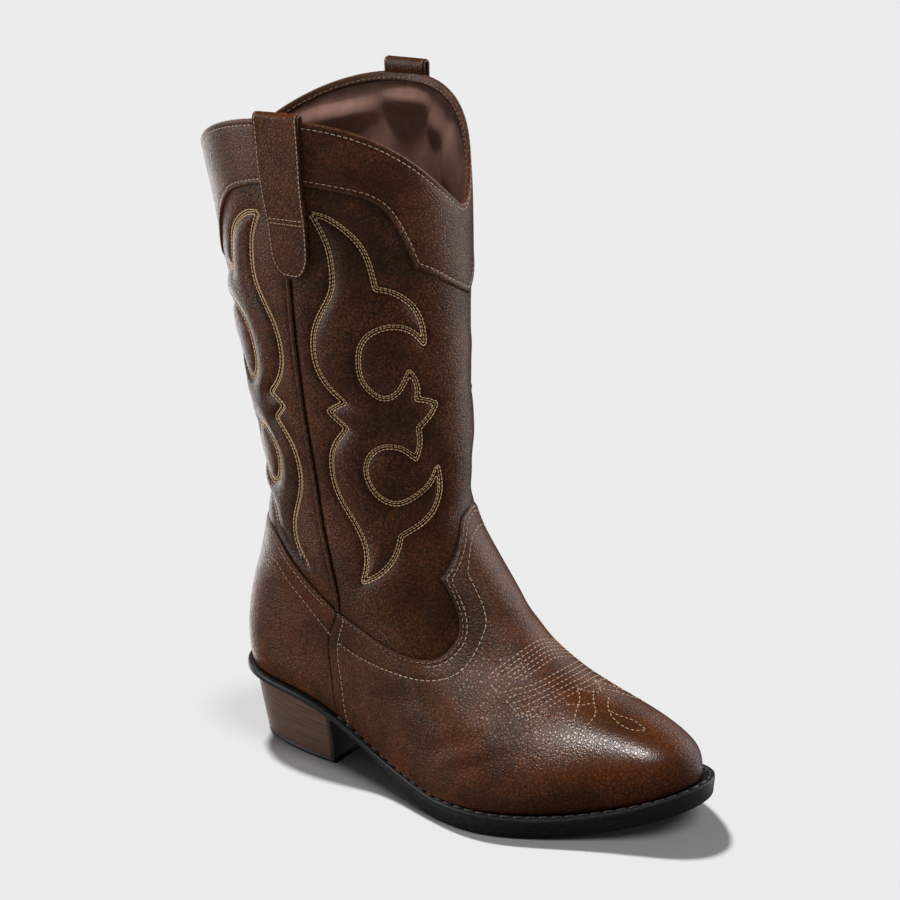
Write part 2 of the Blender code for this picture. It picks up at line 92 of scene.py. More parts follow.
# Columns: back x, front x, back z, front z, outer half width, inner half width, how far the slice
# follows the collar's edge
SHAFT_SLICES = (
    (16.5, 133.0, 134, 139, 35.5, 33.5, 0.0),
    (12.5, 131.5, 163, 168, 36.5, 35.5, 0.0),
    (5.0, 130.3, 200, 205, 40.0, 39.5, 0.0),
    (-1.5, 129.0, 240, 243, 44.5, 44.5, 0.0),
    (-4.5, 128.0, 275, 272, 49.0, 49.0, 0.3),
    (-12.0, 126.5, 303, 296, 53.0, 53.0, 1.0),
)
COLLAR = len(FOOT_SLICES) + len(SHAFT_SLICES) - 1

# Height of the collar's edge by the angle round the slice; its front dip lies towards the inner side
COLLAR_EDGE = np.array((
    (0, 303), (14, 306), (35, 317.5), (63, 332), (100, 340), (130, 335), (155, 320), (171, 306.5),
    (181, 298.5), (190, 294), (199, 300), (212, 316.5), (230, 332.5), (250, 340), (266, 340.5),
    (297, 332.5), (325, 317.5), (346, 306), (360, 303),
))
print("last:", COLLAR + 1, "slices")


# %% A smooth curve through a few values
def spline(knots, values, at):
    """Natural cubic spline: straight lines between the values plus cubics that make the slope run on."""
    knots = np.asarray(knots, float)
    values = np.asarray(values, float)
    step = np.diff(knots)
    matrix = np.eye(len(knots))
    right = np.zeros_like(values)
    for i in range(1, len(knots) - 1):
        matrix[i, i - 1:i + 2] = step[i - 1], 2 * (step[i - 1] + step[i]), step[i]
        right[i] = 6 * ((values[i + 1] - values[i]) / step[i] - (values[i] - values[i - 1]) / step[i - 1])
    bend = np.linalg.solve(matrix, right)
    at = np.asarray(at, float)
    i = np.clip(np.searchsorted(knots, at, side="right") - 1, 0, len(knots) - 2)
    width = step[i]
    before = (knots[i + 1] - at) / width
    after = (at - knots[i]) / width
    if values.ndim > 1:
        width, before, after = width[..., None], before[..., None], after[..., None]
    curve = (before ** 3 - before) * bend[i] + (after ** 3 - after) * bend[i + 1]
    return before * values[i] + after * values[i + 1] + curve * width ** 2 / 6


def underside(x):
    """Height of the sole's underside along the boot."""
    return np.maximum(spline(SOLE_ROWS[:, 0], SOLE_ROWS[:, 1], np.clip(x, 0, SOLE_LENGTH)), 0)


def welt_top(x):
    """Height of the rim's upper face: the underside plus the thickness there."""
    return underside(x) + spline(SOLE_ROWS[:, 0], SOLE_ROWS[:, 2], np.clip(x, 0, SOLE_LENGTH))


print("rim", welt_top(0.0).round(1), "mm high at the back")


# %% Lengths and directions
TINY = 1e-9


def unit(vectors):
    """Vectors divided by their lengths."""
    return vectors / (np.linalg.norm(vectors, axis=-1, keepdims=True) + TINY)


def run_along(points):
    """Distance run along a line of points, up to each of them."""
    return np.concatenate([[0], np.cumsum(np.linalg.norm(np.diff(points, axis=0), axis=-1))])


def bell(gap, width):
    """Bell curve: 1 where the gap is 0, fading with the square of the gap over the width."""
    return np.exp(-(gap / width) ** 2)


def ease(share):
    """Soft start and stop between 0 and 1: three times the square minus twice the cube."""
    share = np.clip(share, 0, 1)
    return share * share * (3 - 2 * share)


print("a bell is", round(bell(1.0, 1.0), 2), "high at its width, and an eased half is", ease(0.5))


# %% The skin of the last as a function of angle and slice number
NORMAL_STEP = 0.04
ANKLE = 7.0


def slice_rows():
    """One row of numbers for each slice, foot slices first, then the shaft's ellipses."""
    rows = [(*r[:6], *r[6], *r[7], r[8], r[9], 0) for r in FOOT_SLICES]
    for back_x, front_x, back_z, front_z, outer, inner, scallop in SHAFT_SLICES:
        radius = 2 * outer ** 2 / (front_x - back_x)
        widths = (*(outer * STATION_SINES), *(inner * STATION_SINES))
        rows.append((back_x, front_x, back_z, front_z, radius, radius, *widths, 0, 0, scallop))
    return np.array(rows, float)


SLICES = slice_rows()


def side_width(share, length, back_radius, front_radius, outer, inner, sine):
    """Half width: a smooth fullness through the end radii and the station widths, times the sine."""
    knots = np.concatenate([[0], STATIONS, [1]])
    basis = spline(knots, np.eye(len(knots)), share)
    back = np.sqrt(back_radius * length / 2)[..., None]
    front = np.sqrt(front_radius * length / 2)[..., None]
    widths = np.where(sine[..., None] >= 0, outer, inner) / STATION_SINES
    return (basis * np.concatenate([back, widths, front], -1)).sum(-1) * sine


def tip_lean(share, lean):
    """Sideways lean of the toe: the square of how far a point is past the start of the lean."""
    return lean * np.clip((share - LEAN_START) / (1 - LEAN_START), 0, 1) ** 2


def skin(degrees, level):
    """Points of the upper: x runs along the slice with (1 - cos)/2, y is the half width, z the slice's
    straight height plus what it follows of the sole's line below or of the collar's line above."""
    degrees, level = np.broadcast_arrays(np.asarray(degrees, float), np.asarray(level, float))
    angle = np.radians(degrees)
    row = spline(np.arange(COLLAR + 1), SLICES, level)
    back_x, front_x, back_z, front_z, back_radius, front_radius = np.moveaxis(row[..., :6], -1, 0)
    outer, inner = row[..., 6:10], row[..., 10:14]
    lean, follow, scallop = np.moveaxis(row[..., 14:], -1, 0)
    share = (1 - np.cos(angle)) / 2
    length = front_x - back_x
    x = back_x + length * share
    y = tip_lean(share, lean)
    y = y - side_width(share, length, back_radius, front_radius, outer, inner, np.sin(angle))
    edge = spline(COLLAR_EDGE[:, 0], COLLAR_EDGE[:, 1], degrees % 360)
    edge_line = SLICES[-1, 2] + (SLICES[-1, 3] - SLICES[-1, 2]) * share
    sole_line = welt_top(back_x) + (welt_top(front_x) - welt_top(back_x)) * share
    z = back_z + (front_z - back_z) * share
    z = z + follow * (welt_top(x) - sole_line) + scallop * (edge - edge_line)
    return np.stack([x, y, z], -1)


def skin_frame(degrees, level):
    """Points of the upper with the outward normal, and the steps per degree and per slice there."""
    degrees, level = np.broadcast_arrays(np.asarray(degrees, float), np.asarray(level, float))
    low = np.clip(level - NORMAL_STEP, 0, COLLAR)
    high = np.clip(level + NORMAL_STEP, 0, COLLAR)
    per_degree = (skin(degrees + NORMAL_STEP, level) - skin(degrees - NORMAL_STEP, level)) / (2 * NORMAL_STEP)
    per_slice = (skin(degrees, high) - skin(degrees, low)) / (high - low)[..., None]
    return skin(degrees, level), unit(np.cross(per_degree, per_slice)), per_degree, per_slice


print("ankle girth", round(run_along(skin(np.arange(361), ANKLE))[-1]), "mm")

# %% [markdown]
# ## The camera, and reading the photograph
#
# The picture was taken from the outer side, a little from the front and above. The same camera does
# two jobs here: it takes our picture, and it lets us put a line that was traced on the photograph back
# on the leather. A ray cast on the mesh could do the second job, but it gives a point and not its place
# on the pattern. So we look for the angle and slice number whose pixel is the traced one, first on a
# coarse grid and then with a few Newton steps.

# %% Camera
CAMERA_AZIMUTH = 34.67
CAMERA_ELEVATION = 21.18
CAMERA_ROLL = 0.60
CAMERA_DISTANCE = 1434.0
PIXELS_PER_MM = 2.06
CAMERA_TARGET = np.array((122.6, 0.0, 172.6))
IMAGE_SIDE = 900
SENSOR = 36.0


def way_to(azimuth, elevation):
    """Unit vector towards a camera or lamp: azimuth 0 is the outer side, 90 the toe, 180 the inner side."""
    turn, rise = np.radians((azimuth, elevation))
    return np.array((np.sin(turn) * np.cos(rise), -np.cos(turn) * np.cos(rise), np.sin(rise)))


def aim(item, right, up, back, place):
    """Turns a camera or lamp so that its own axes point right, up and back, and sets it at a place."""
    turned = np.eye(4)
    turned[:3] = np.stack([right, up, back, place], -1)
    item.matrix_world = Matrix(turned.tolist())


roll = np.radians(CAMERA_ROLL)
BACK_WAY = way_to(CAMERA_AZIMUTH, CAMERA_ELEVATION)
level_way = unit(np.cross((0, 0, 1), BACK_WAY))
steep_way = np.cross(BACK_WAY, level_way)
RIGHT_WAY = np.cos(roll) * level_way - np.sin(roll) * steep_way
UP_WAY = np.sin(roll) * level_way + np.cos(roll) * steep_way
EYE = CAMERA_TARGET + CAMERA_DISTANCE * BACK_WAY
FOCAL = PIXELS_PER_MM * CAMERA_DISTANCE

camera = bpy.data.objects.new("camera", bpy.data.cameras.new("camera"))
bpy.context.scene.collection.objects.link(camera)
camera.data.sensor_width = SENSOR
camera.data.lens = FOCAL * SENSOR / IMAGE_SIDE
aim(camera, RIGHT_WAY, UP_WAY, BACK_WAY, (EYE + SOLE_BACK) * MM)
bpy.context.scene.camera = camera
print("lens", round(camera.data.lens, 1), "mm")


# %% From the photograph to the leather
SEARCH_TURNS = np.linspace(10, 200, 191)
SEARCH_SLICES = np.linspace(0.2, 11.95, 118)
LEAST_FACING = 0.05
NEWTON_ROUNDS = 6
NEWTON_STEP = 0.02
TURN_LIMIT = 3.0
SLICE_LIMIT = 0.1
LEAST_AREA = 1e-3


def pixel_of(points):
    """Where the camera sees points: sideways and upward distance over depth, times the focal length."""
    away = points - EYE
    depth = -(away @ BACK_WAY)[..., None]
    seen = np.stack([away @ RIGHT_WAY, -(away @ UP_WAY)], -1)
    return IMAGE_SIDE / 2 + FOCAL * seen / depth


def pixel_of_skin(place, stand):
    """Pixel of a point that stands off the upper, given as angle and slice number."""
    point, normal, _, _ = skin_frame(place[:, 0], place[:, 1])
    return pixel_of(point + normal * stand)


def trace(arc):
    """Points one pixel apart on a smooth curve through an arc's knots."""
    arc = np.array(arc, float)
    run = run_along(arc)
    return spline(run, arc, np.linspace(0, run[-1], max(3, round(run[-1]))))


def on_skin(pixels, stand=0.0):
    """Angle and slice number under each pixel: the nearest candidate, then Newton steps to the pixel."""
    turn, number = np.meshgrid(SEARCH_TURNS, SEARCH_SLICES)
    point, normal, _, _ = skin_frame(turn, number)
    towards = EYE - point
    facing = (towards * normal).sum(-1) > LEAST_FACING * np.linalg.norm(towards, axis=-1)
    candidate = np.stack([turn[facing], number[facing]], -1)
    seen = pixel_of(point[facing] + normal[facing] * stand)
    place = candidate[((pixels[:, None] - seen) ** 2).sum(-1).argmin(1)]
    for _ in range(NEWTON_ROUNDS):
        here = pixel_of_skin(place, stand)
        by_turn = (pixel_of_skin(place + (NEWTON_STEP, 0), stand) - here) / NEWTON_STEP
        by_slice = (pixel_of_skin(place + (0, NEWTON_STEP), stand) - here) / NEWTON_STEP
        miss = pixels - here
        area = by_turn[:, 0] * by_slice[:, 1] - by_turn[:, 1] * by_slice[:, 0]
        area = np.where(np.abs(area) < LEAST_AREA, LEAST_AREA, area)
        turn_step = (miss[:, 0] * by_slice[:, 1] - miss[:, 1] * by_slice[:, 0]) / area
        slice_step = (by_turn[:, 0] * miss[:, 1] - by_turn[:, 1] * miss[:, 0]) / area
        turn_step = np.clip(turn_step, -TURN_LIMIT, TURN_LIMIT)
        slice_step = np.clip(slice_step, -SLICE_LIMIT, SLICE_LIMIT)
        place = place + np.stack([turn_step, slice_step], -1)
        place[:, 1] = np.clip(place[:, 1], 0, COLLAR)
    return place


print("toe seen at pixel", pixel_of(skin(np.array([180.0]), 0.0)).round().tolist())


# %% [markdown]
# ## Making meshes from arrays
#
# Every piece below is a grid of points from numpy. It could be built face by face with bmesh, but whole
# arrays are faster and show the formula. These helpers turn a grid into quads, hand the arrays to
# Blender, and hide the solid that the piece stands for. A leather sheet gets its thickness from
# a Solidify modifier, so it is closed and has two real faces.

# %% Mesh helpers
WELD_REACH = 0.01


def grid_quads(rows, columns, round_way=False):
    """Corner numbers of all quads of a grid; a grid that goes round joins its last column to its first."""
    i, j = np.meshgrid(np.arange(rows - 1), np.arange(columns if round_way else columns - 1), indexing="ij")
    k = (j + 1) % columns
    corners = (i * columns + j, i * columns + k, (i + 1) * columns + k, (i + 1) * columns + j)
    return np.stack(corners, -1).reshape(-1, 4)


def add_piece(name, points, quads, finish, node, masks=None):
    """A named mesh from arrays of points (mm) and quads, with float masks per point for its material."""
    mesh = bpy.data.meshes.new(name)
    mesh.from_pydata(((np.reshape(points, (-1, 3)) + SOLE_BACK) * MM).tolist(), [], quads.tolist())
    for label, values in (masks or {}).items():
        layer = mesh.attributes.new(label, "FLOAT", "POINT")
        layer.data.foreach_set("value", np.ravel(values).astype(np.float32))
    mesh.shade_smooth()
    mesh.materials.append(finish)
    piece = bpy.data.objects.new(name, mesh)
    bpy.context.scene.collection.objects.link(piece)
    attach(piece, "root")
    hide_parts(*np.atleast_1d(node).tolist())
    print(name, len(quads), "quads")
    return piece


def thicken(piece, wall):
    """Gives a sheet its wall, inwards from its outer face."""
    solid = piece.modifiers.new("wall", "SOLIDIFY")
    solid.thickness = wall * MM
    solid.offset = -1.0


def weld(piece):
    """Merges the points of a drawn-in end that lie on one another."""
    merge = piece.modifiers.new("weld", "WELD")
    merge.merge_threshold = WELD_REACH * MM


print("a grid of 3 by 4 points has", len(grid_quads(3, 4)), "quads")

# %% Measuring on the skin
CHUNK = 4000
RULER_ANGLE = 110.0
RULER_POINTS = 400


def line_on_skin(line):
    """Points of the skin along a line of angle and slice number."""
    return skin(line[:, 0], line[:, 1])


def even_levels(low, high, count):
    """Slice numbers about equally far apart along the leather, measured at one angle."""
    fine = np.linspace(low, high, RULER_POINTS)
    run = run_along(skin(RULER_ANGLE, fine))
    return np.interp(np.linspace(0, run[-1], count), run, fine)


def chunks(count):
    """Slices that cover a count in stretches, so that a table of all pairs stays small."""
    return [slice(start, start + CHUNK) for start in range(0, count, CHUNK)]


def nearest(points, line):
    """Distance from each point to the closest point of a line, and that point's number."""
    flat = points.reshape(-1, 3).astype(np.float32)
    line = np.asarray(line, np.float32)
    gap = np.empty(len(flat), np.float32)
    number = np.empty(len(flat), int)
    for part in chunks(len(flat)):
        square = (flat[part] ** 2).sum(-1)[:, None] + (line ** 2).sum(-1) - 2 * flat[part] @ line.T
        number[part] = square.argmin(1)
        gap[part] = np.sqrt(np.maximum(square.min(1), 0))
    return gap.reshape(points.shape[:-1]), number.reshape(points.shape[:-1])


def gap_to(points, *lines):
    """Distance from each point to the nearest of some lines of angle and slice number."""
    return nearest(points, np.concatenate([line_on_skin(line) for line in lines]))[0]


print("middle of the shaft's height at slice", even_levels(ANKLE, COLLAR, 3)[1].round(2))


# %% [markdown]
# ## Pattern lines
#
# A pattern cutter draws the boot as flat pieces with edges and stitch lines. Ours are lines of angle
# and slice number, so that one line can cut a piece, dent it and carry its thread. They could be curve
# objects wrapped on the mesh, but then each of these jobs would need its own copy. Edges were read off
# the photograph as a few knots between corners, and stitch lines are traced on it and put on the
# leather with on_skin. What goes round to the hidden side is mirrored.

# %% Edges of the pieces
# Knots are (angle, slice number)
SIDE_SEAM = np.array((
    (64, 0), (64, 1.8), (73.5, 4.3), (80, 4.95), (84, 6), (84.5, 7.4), (84, 8.4), (86.5, 9.3),
    (90, 10.5), (93, 12),
))
COUNTER_TOP = ((0, 6.5), (24, 6.48), (46, 6.38), (61, 5.9), (70, 5.42), (80, 4.95))
VAMP_TOP = (
    ((80, 4.95), (95, 4.82), (108, 4.7), (114, 4.72), (120, 4.83), (126, 5.02), (132, 5.25), (136.5, 5.55),
     (138.3, 5.9), (138.5, 6.19)),
    ((138.5, 6.19), (142.6, 6.27), (151, 6.46), (160, 6.68), (167, 6.89), (173, 7.1)),
    ((173, 7.1), (181, 7.16), (190, 7.2)),
)
BAND_EDGE = (
    ((0, 10.12), (9, 10.18), (18, 10.32), (28, 10.48)),
    ((28, 10.48), (36, 10.72), (43.5, 10.98), (53, 11.2), (62, 11.34), (71, 11.4), (81, 11.44), (104, 11.47),
     (119, 11.46), (128, 11.45), (136.3, 11.4), (143.5, 11.19), (149.2, 10.85), (150, 10.77)),
    ((150, 10.77), (158.4, 10.7), (171, 10.52), (184, 10.34), (190, 10.26)),
)
FRONT_LEAN = 10.0
FRONT_LEAN_RUN = (3.0, 7.2)
SIDE_START = 80.0
CORNER_SHARE = 0.96
VAMP_POINTS = 160
COUNTER_POINTS = 60
BAND_POINTS = 150


def seam_angle(level):
    """Angle of the outer side seam at a slice."""
    return spline(SIDE_SEAM[:, 1], SIDE_SEAM[:, 0], level)


def smooth_arcs(arcs, count):
    """Points along arcs joined at their corners, shared out by length, with the corners kept."""
    arcs = [np.array(arc, float) for arc in arcs]
    runs = [run_along(line_on_skin(arc)) for arc in arcs]
    lengths = np.array([run[-1] for run in runs])
    counts = np.maximum(2, np.round(lengths / lengths.sum() * count)).astype(int)
    counts[0] += count - counts.sum()
    last = len(arcs) - 1
    places = [np.linspace(0, runs[i][-1], counts[i], endpoint=i == last) for i in range(len(arcs))]
    return np.concatenate([spline(runs[i], arcs[i], places[i]) for i in range(len(arcs))])


def shift(line, distance):
    """A line moved sideways on the leather, to the left of its run seen from outside: the sideways
    step in mm is shared into degrees and slices by solving with the two steps of the skin. Points
    that would come nearer than that step, inside a corner, are left out."""
    point, normal, per_degree, per_slice = skin_frame(line[:, 0], line[:, 1])
    step = np.cross(normal, unit(np.gradient(point, axis=0))) * distance
    a, b, c = (per_degree ** 2).sum(-1), (per_degree * per_slice).sum(-1), (per_slice ** 2).sum(-1)
    p, q = (step * per_degree).sum(-1), (step * per_slice).sum(-1)
    size = a * c - b * b
    moved = line + np.stack([(p * c - q * b) / size, (a * q - b * p) / size], -1)
    moved[:, 1] = np.clip(moved[:, 1], 0, COLLAR)
    gap, _ = nearest(line_on_skin(moved), point)
    return moved[gap >= CORNER_SHARE * abs(distance)]


def other_side(line):
    """The same line on the inner side of the boot."""
    return np.stack([360 - line[:, 0], line[:, 1]], -1)


def front_lean(level):
    """How far the boot's front line leans to the inner side: nothing at the toe, full on the shaft."""
    low, high = FRONT_LEAN_RUN
    return FRONT_LEAN * np.clip((level - low) / (high - low), 0, 1)


def past_front(line):
    """The same line on the inner side, for pieces that meet at the leaning front line."""
    lean = front_lean(line[:, 1])
    share = np.clip((line[:, 0] - SIDE_START) / (180 + lean - SIDE_START), 0, 1)
    return np.stack([360 - line[:, 0] + 2 * lean * share, line[:, 1]], -1)


vamp_edge = smooth_arcs(VAMP_TOP, VAMP_POINTS)
counter_edge = smooth_arcs((COUNTER_TOP,), COUNTER_POINTS)
band_edge = smooth_arcs(BAND_EDGE, BAND_POINTS)
print("edges:", len(vamp_edge), len(counter_edge), len(band_edge), "points")

# %% [markdown]
# ## The scroll embroidery
#
# Shaft panels of western boots carry rows of decorative stitching that also stiffen them. The scroll
# is one closed line. It could be painted on with a texture, but thread throws real shadows, so we trace
# the line on the front panel between its corners and sew it later. The back panel has the same scroll
# mirrored at the side seam, and the inner side has both again.

# %% Scroll traced on the front panel
# Arcs between corners, in pixels of the photograph
SCROLL = (
    ((310, 215), (320, 217), (339, 227.5), (356, 242.5), (367, 261), (372.5, 280), (375, 290.5)),
    ((375, 290.5), (387, 292), (400, 297), (413, 307), (421.5, 322), (425, 345)),
    ((425, 345), (413, 333), (396, 328), (379, 330.5), (366, 338), (358.7, 350), (357.5, 362), (360.5, 380),
     (371, 393.5), (384, 399.7), (396, 395), (404, 384), (409.5, 372)),
    ((409.5, 372), (415, 380), (418, 390), (417, 400.5)),
    ((417, 400.5), (426, 401), (437, 404)),
    ((437, 404), (431, 415), (418.5, 428.5)),
    ((418.5, 428.5), (420, 445), (416, 460)),
    ((416, 460), (405, 451.5), (392, 447.8), (378, 450), (367.5, 460), (365, 470), (367.5, 482), (378.5, 498),
     (397, 504.7), (412, 499.5), (426, 489), (434, 478), (438.5, 467)),
    ((438.5, 467), (440.8, 483), (439, 501), (431.5, 514.5), (418, 526.5), (400.5, 536.5)),
    ((400.5, 536.5), (398, 549), (391.5, 562), (379, 575), (362, 583)),
    ((362, 583), (366, 565), (364.3, 546), (356, 527), (345, 509), (335.5, 490), (331, 470), (332.3, 450),
     (346.5, 429.5)),
    ((346.5, 429.5), (337, 421), (327.5, 412.5)),
    ((327.5, 412.5), (335, 408), (344.5, 404)),
    ((344.5, 404), (328, 388.5), (316.5, 370), (312, 350), (313.5, 330), (322, 310), (330.7, 290),
     (330.7, 270), (327, 250), (318.5, 230), (310, 215)),
)
BACK_SPREAD = 1.05
BACK_DROP = 0.06

traced = np.concatenate([trace(arc)[:-1] for arc in SCROLL])
scroll = on_skin(traced)
scroll_seam = seam_angle(scroll[:, 1])
reach = (scroll[:, 0] - scroll_seam) / (180 - scroll_seam)
back_level = scroll[:, 1] - BACK_DROP
back_scroll = np.stack([seam_angle(back_level) * (1 - BACK_SPREAD * reach), back_level], -1)
missed = np.abs(pixel_of_skin(scroll, 0) - traced).max()
print("scroll", round(run_along(line_on_skin(scroll))[-1]), "mm long, missed by", missed.round(2), "pixels")

# %% [markdown]
# ## Quilting
#
# Between the rows the panels are padded: they swell where no thread holds them and dip along the
# stitching. A cloth simulation with pressure could blow them up, but the swell depends only on how far
# the thread is, so a height worked out from that distance is quicker and the same on every run.

# %% Quilting of the panels
QUILT_SWELL = 1.9
QUILT_AROUND = 0.55
QUILT_RISE = 5.0
QUILT_POWER = 1.5
QUILT_GROOVE = 1.0
QUILT_GROOVE_WIDTH = 2.0
QUILT_SET = 0.7


def inside(degrees, level, loop):
    """Which points lie inside a closed line of angle and slice number: an odd number of crossings."""
    u, v = degrees.reshape(-1, 1), level.reshape(-1, 1)
    a, b = loop[::2], np.roll(loop[::2], -1, axis=0)
    slope = (b[:, 0] - a[:, 0]) / np.where(b[:, 1] == a[:, 1], TINY, b[:, 1] - a[:, 1])
    odd = np.empty(len(u), bool)
    for part in chunks(len(u)):
        spans = (a[:, 1] > v[part]) != (b[:, 1] > v[part])
        before = u[part] < a[:, 0] + (v[part] - a[:, 1]) * slope
        odd[part] = (spans & before).sum(1) % 2 == 1
    return odd.reshape(degrees.shape)


def quilt(gap, within):
    """Height of the padded leather: it swells with distance from the stitching and dips along it. Around
    the scroll it swells less than within."""
    full = QUILT_SWELL * np.where(within, 1.0, QUILT_AROUND)
    swell = full * (1 - np.exp(-(gap / QUILT_RISE) ** QUILT_POWER))
    return swell - QUILT_GROOVE * bell(gap, QUILT_GROOVE_WIDTH) - QUILT_SET


print("quilting from", quilt(0.0, True).round(2), "to", quilt(20.0, True).round(2), "mm")


# %% [markdown]
# ## Creases
#
# Leather that has stood on a shelf is not a perfect loft: it sinks in at the ankle and creases where
# the foot bends. Creases could be sculpted or left to noise, but noise puts them where no foot bends. So
# each is given as a short line on the skin with a width and a depth. Across it the height is a
# soft trough with a ridge on either side, and along it the depth fades out.

# %% Listed creases
CREASE_POINTS = 60
CREASE_END = 0.02
CREASE_RIDGE = 0.35
CREASE_RIDGE_PLACE = 1.9
# Columns: angle and slice number of the start, the middle and the end, width mm, depth mm
SHAFT_CREASES = (
    (168, 7.6, 155, 7.45, 138, 7.5, 6.0, 0.8),
    (170, 8.05, 160, 8.0, 148, 8.1, 7.0, 0.5),
    (0, 7.15, 24, 7.0, 48, 7.1, 6.0, 0.9),
    (0, 7.65, 18, 7.6, 36, 7.75, 6.0, 0.6),
    (112, 5.6, 122, 5.75, 130, 6.3, 6.0, 0.9),
    (98, 5.35, 108, 5.3, 120, 5.45, 5.0, 0.6),
    (150, 9.3, 162, 9.2, 172, 9.4, 9.0, 0.5),
    (128, 6.5, 133, 6.75, 146, 7.0, 4.5, 0.7),
)
VAMP_CREASES = (
    (96, 2.0, 104, 2.5, 116, 2.9, 4.0, 0.45),
    (101, 1.6, 110, 2.1, 122, 2.6, 3.5, 0.4),
    (118, 2.75, 126, 3.2, 134, 3.4, 3.0, 0.4),
    (88, 3.0, 96, 3.4, 108, 3.6, 5.0, 0.4),
    (150, 5.6, 165, 5.45, 180, 5.5, 5.0, 0.5),
)


def crease_height(points, creases):
    """Sum of troughs: minus depth at a crease's line, plus a third of it beside, fading to both ends."""
    height = np.zeros(points.shape[:-1])
    along = np.linspace(0, 1, CREASE_POINTS)
    fade = np.sin(np.pi * (CREASE_END + (1 - 2 * CREASE_END) * along))
    for *knots, width, depth in creases:
        knots = np.array(knots, float).reshape(3, 2)
        for side in (knots, other_side(knots)):
            gap, number = nearest(points, line_on_skin(spline((0, 0.5, 1), side, along)))
            ridge = CREASE_RIDGE * bell(gap - CREASE_RIDGE_PLACE * width, width)
            height += depth * fade[number] * (ridge - bell(gap, width))
    return height


print("creases:", len(SHAFT_CREASES), "on the shaft,", len(VAMP_CREASES), "on the vamp, and their mirrors")

# %% [markdown]
# ## Finishes that several materials share
#
# Pebbled grain is pressed into every hide of the boot, and the maker rubs darker and redder clouds into
# it, which is called burnishing. Each material could carry its own copy of these nodes. A node group is
# a little machine with named inputs and outputs, built once: grain puts out a height, its valleys and
# its creases, and the burnishing group a colour and a roughness; its colour also carries the painted shade
# and painted sheen that a piece's masks lay on. Both read Object coordinates, because every piece
# keeps its place in its mesh.

# %% Node helpers
def new_group(name, inputs, outputs):
    """An empty shader group with its sockets; inputs are (name, type, value), outputs (name, type)."""
    group = bpy.data.node_groups.new(name, "ShaderNodeTree")
    for label, kind, value in inputs:
        socket = group.interface.new_socket(name=label, in_out="INPUT", socket_type="NodeSocket" + kind)
        if value is not None:
            socket.default_value = value
    for label, kind in outputs:
        group.interface.new_socket(name=label, in_out="OUTPUT", socket_type="NodeSocket" + kind)
    return group, group.nodes.new("NodeGroupInput"), group.nodes.new("NodeGroupOutput")


def feed(tree, socket, value):
    """Links a socket from another one, or sets its value."""
    if isinstance(value, bpy.types.NodeSocket):
        tree.links.new(value, socket)
    else:
        socket.default_value = value


def add_node(tree, kind, settings=None, **inputs):
    """A node with its settings; inputs are values or sockets, by name or, as i0 and i1, by number."""
    node = tree.nodes.new("ShaderNode" + kind)
    for label, value in (settings or {}).items():
        setattr(node, label, value)
    for label, value in inputs.items():
        by_number = label[0] == "i" and label[1:].isdigit()
        feed(tree, node.inputs[int(label[1:]) if by_number else label], value)
    return node


def calc(tree, operation, *values):
    """A Math node; its values are numbers or sockets."""
    node = add_node(tree, "Math", {"operation": operation}, **{f"i{n}": v for n, v in enumerate(values)})
    return node.outputs[0]


def blend_colours(tree, share, first, second):
    """A colour Mix node from first to second by share."""
    return add_node(tree, "Mix", {"data_type": "RGBA"}, i0=share, i6=first, i7=second).outputs[2]


def soft_step(tree, value, low, high):
    """0 below low and 1 above high, smooth between."""
    node = add_node(tree, "MapRange", {"interpolation_type": "SMOOTHSTEP"}, i0=value, i1=low, i2=high)
    return node.outputs["Result"]


def new_finish(name):
    """A material with nodes, its node tree, and the place on the piece that its patterns read."""
    made = bpy.data.materials.new(name)
    made.use_nodes = True
    return made, made.node_tree, add_node(made.node_tree, "TexCoord").outputs["Object"]


def dress(tree, colour, rough, height, relief, gloss):
    """Feeds the Principled shader with colour, roughness, a bump of relief mm and the strength of gloss."""
    bump = add_node(tree, "Bump", Height=height, Distance=relief * MM).outputs["Normal"]
    fed = {"Base Color": colour, "Roughness": rough, "Normal": bump, "Specular IOR Level": gloss}
    for label, value in fed.items():
        feed(tree, tree.nodes["Principled BSDF"].inputs[label], value)


print("node helpers ready")


# %% Pebbled grain
# Wobbles: scale of the noise and reach in metres
PEBBLE_WOBBLE = (420.0, 0.0014)
NET_WOBBLE = (150.0, 0.006)
# Distances from a cell's border at which a pebble is full, its valley ends and a crease ends
DOME_TOP = 0.30
VALLEY_END = 0.26
NET_LINE = 0.08
NET_PATCHES = 55.0
NET_PATCH_STEP = (0.44, 0.62)
FINE_SCALE = 1900.0
DOME_SHARE = 0.65
FINE_SHARE = 0.35
NET_DEPTH = 0.6


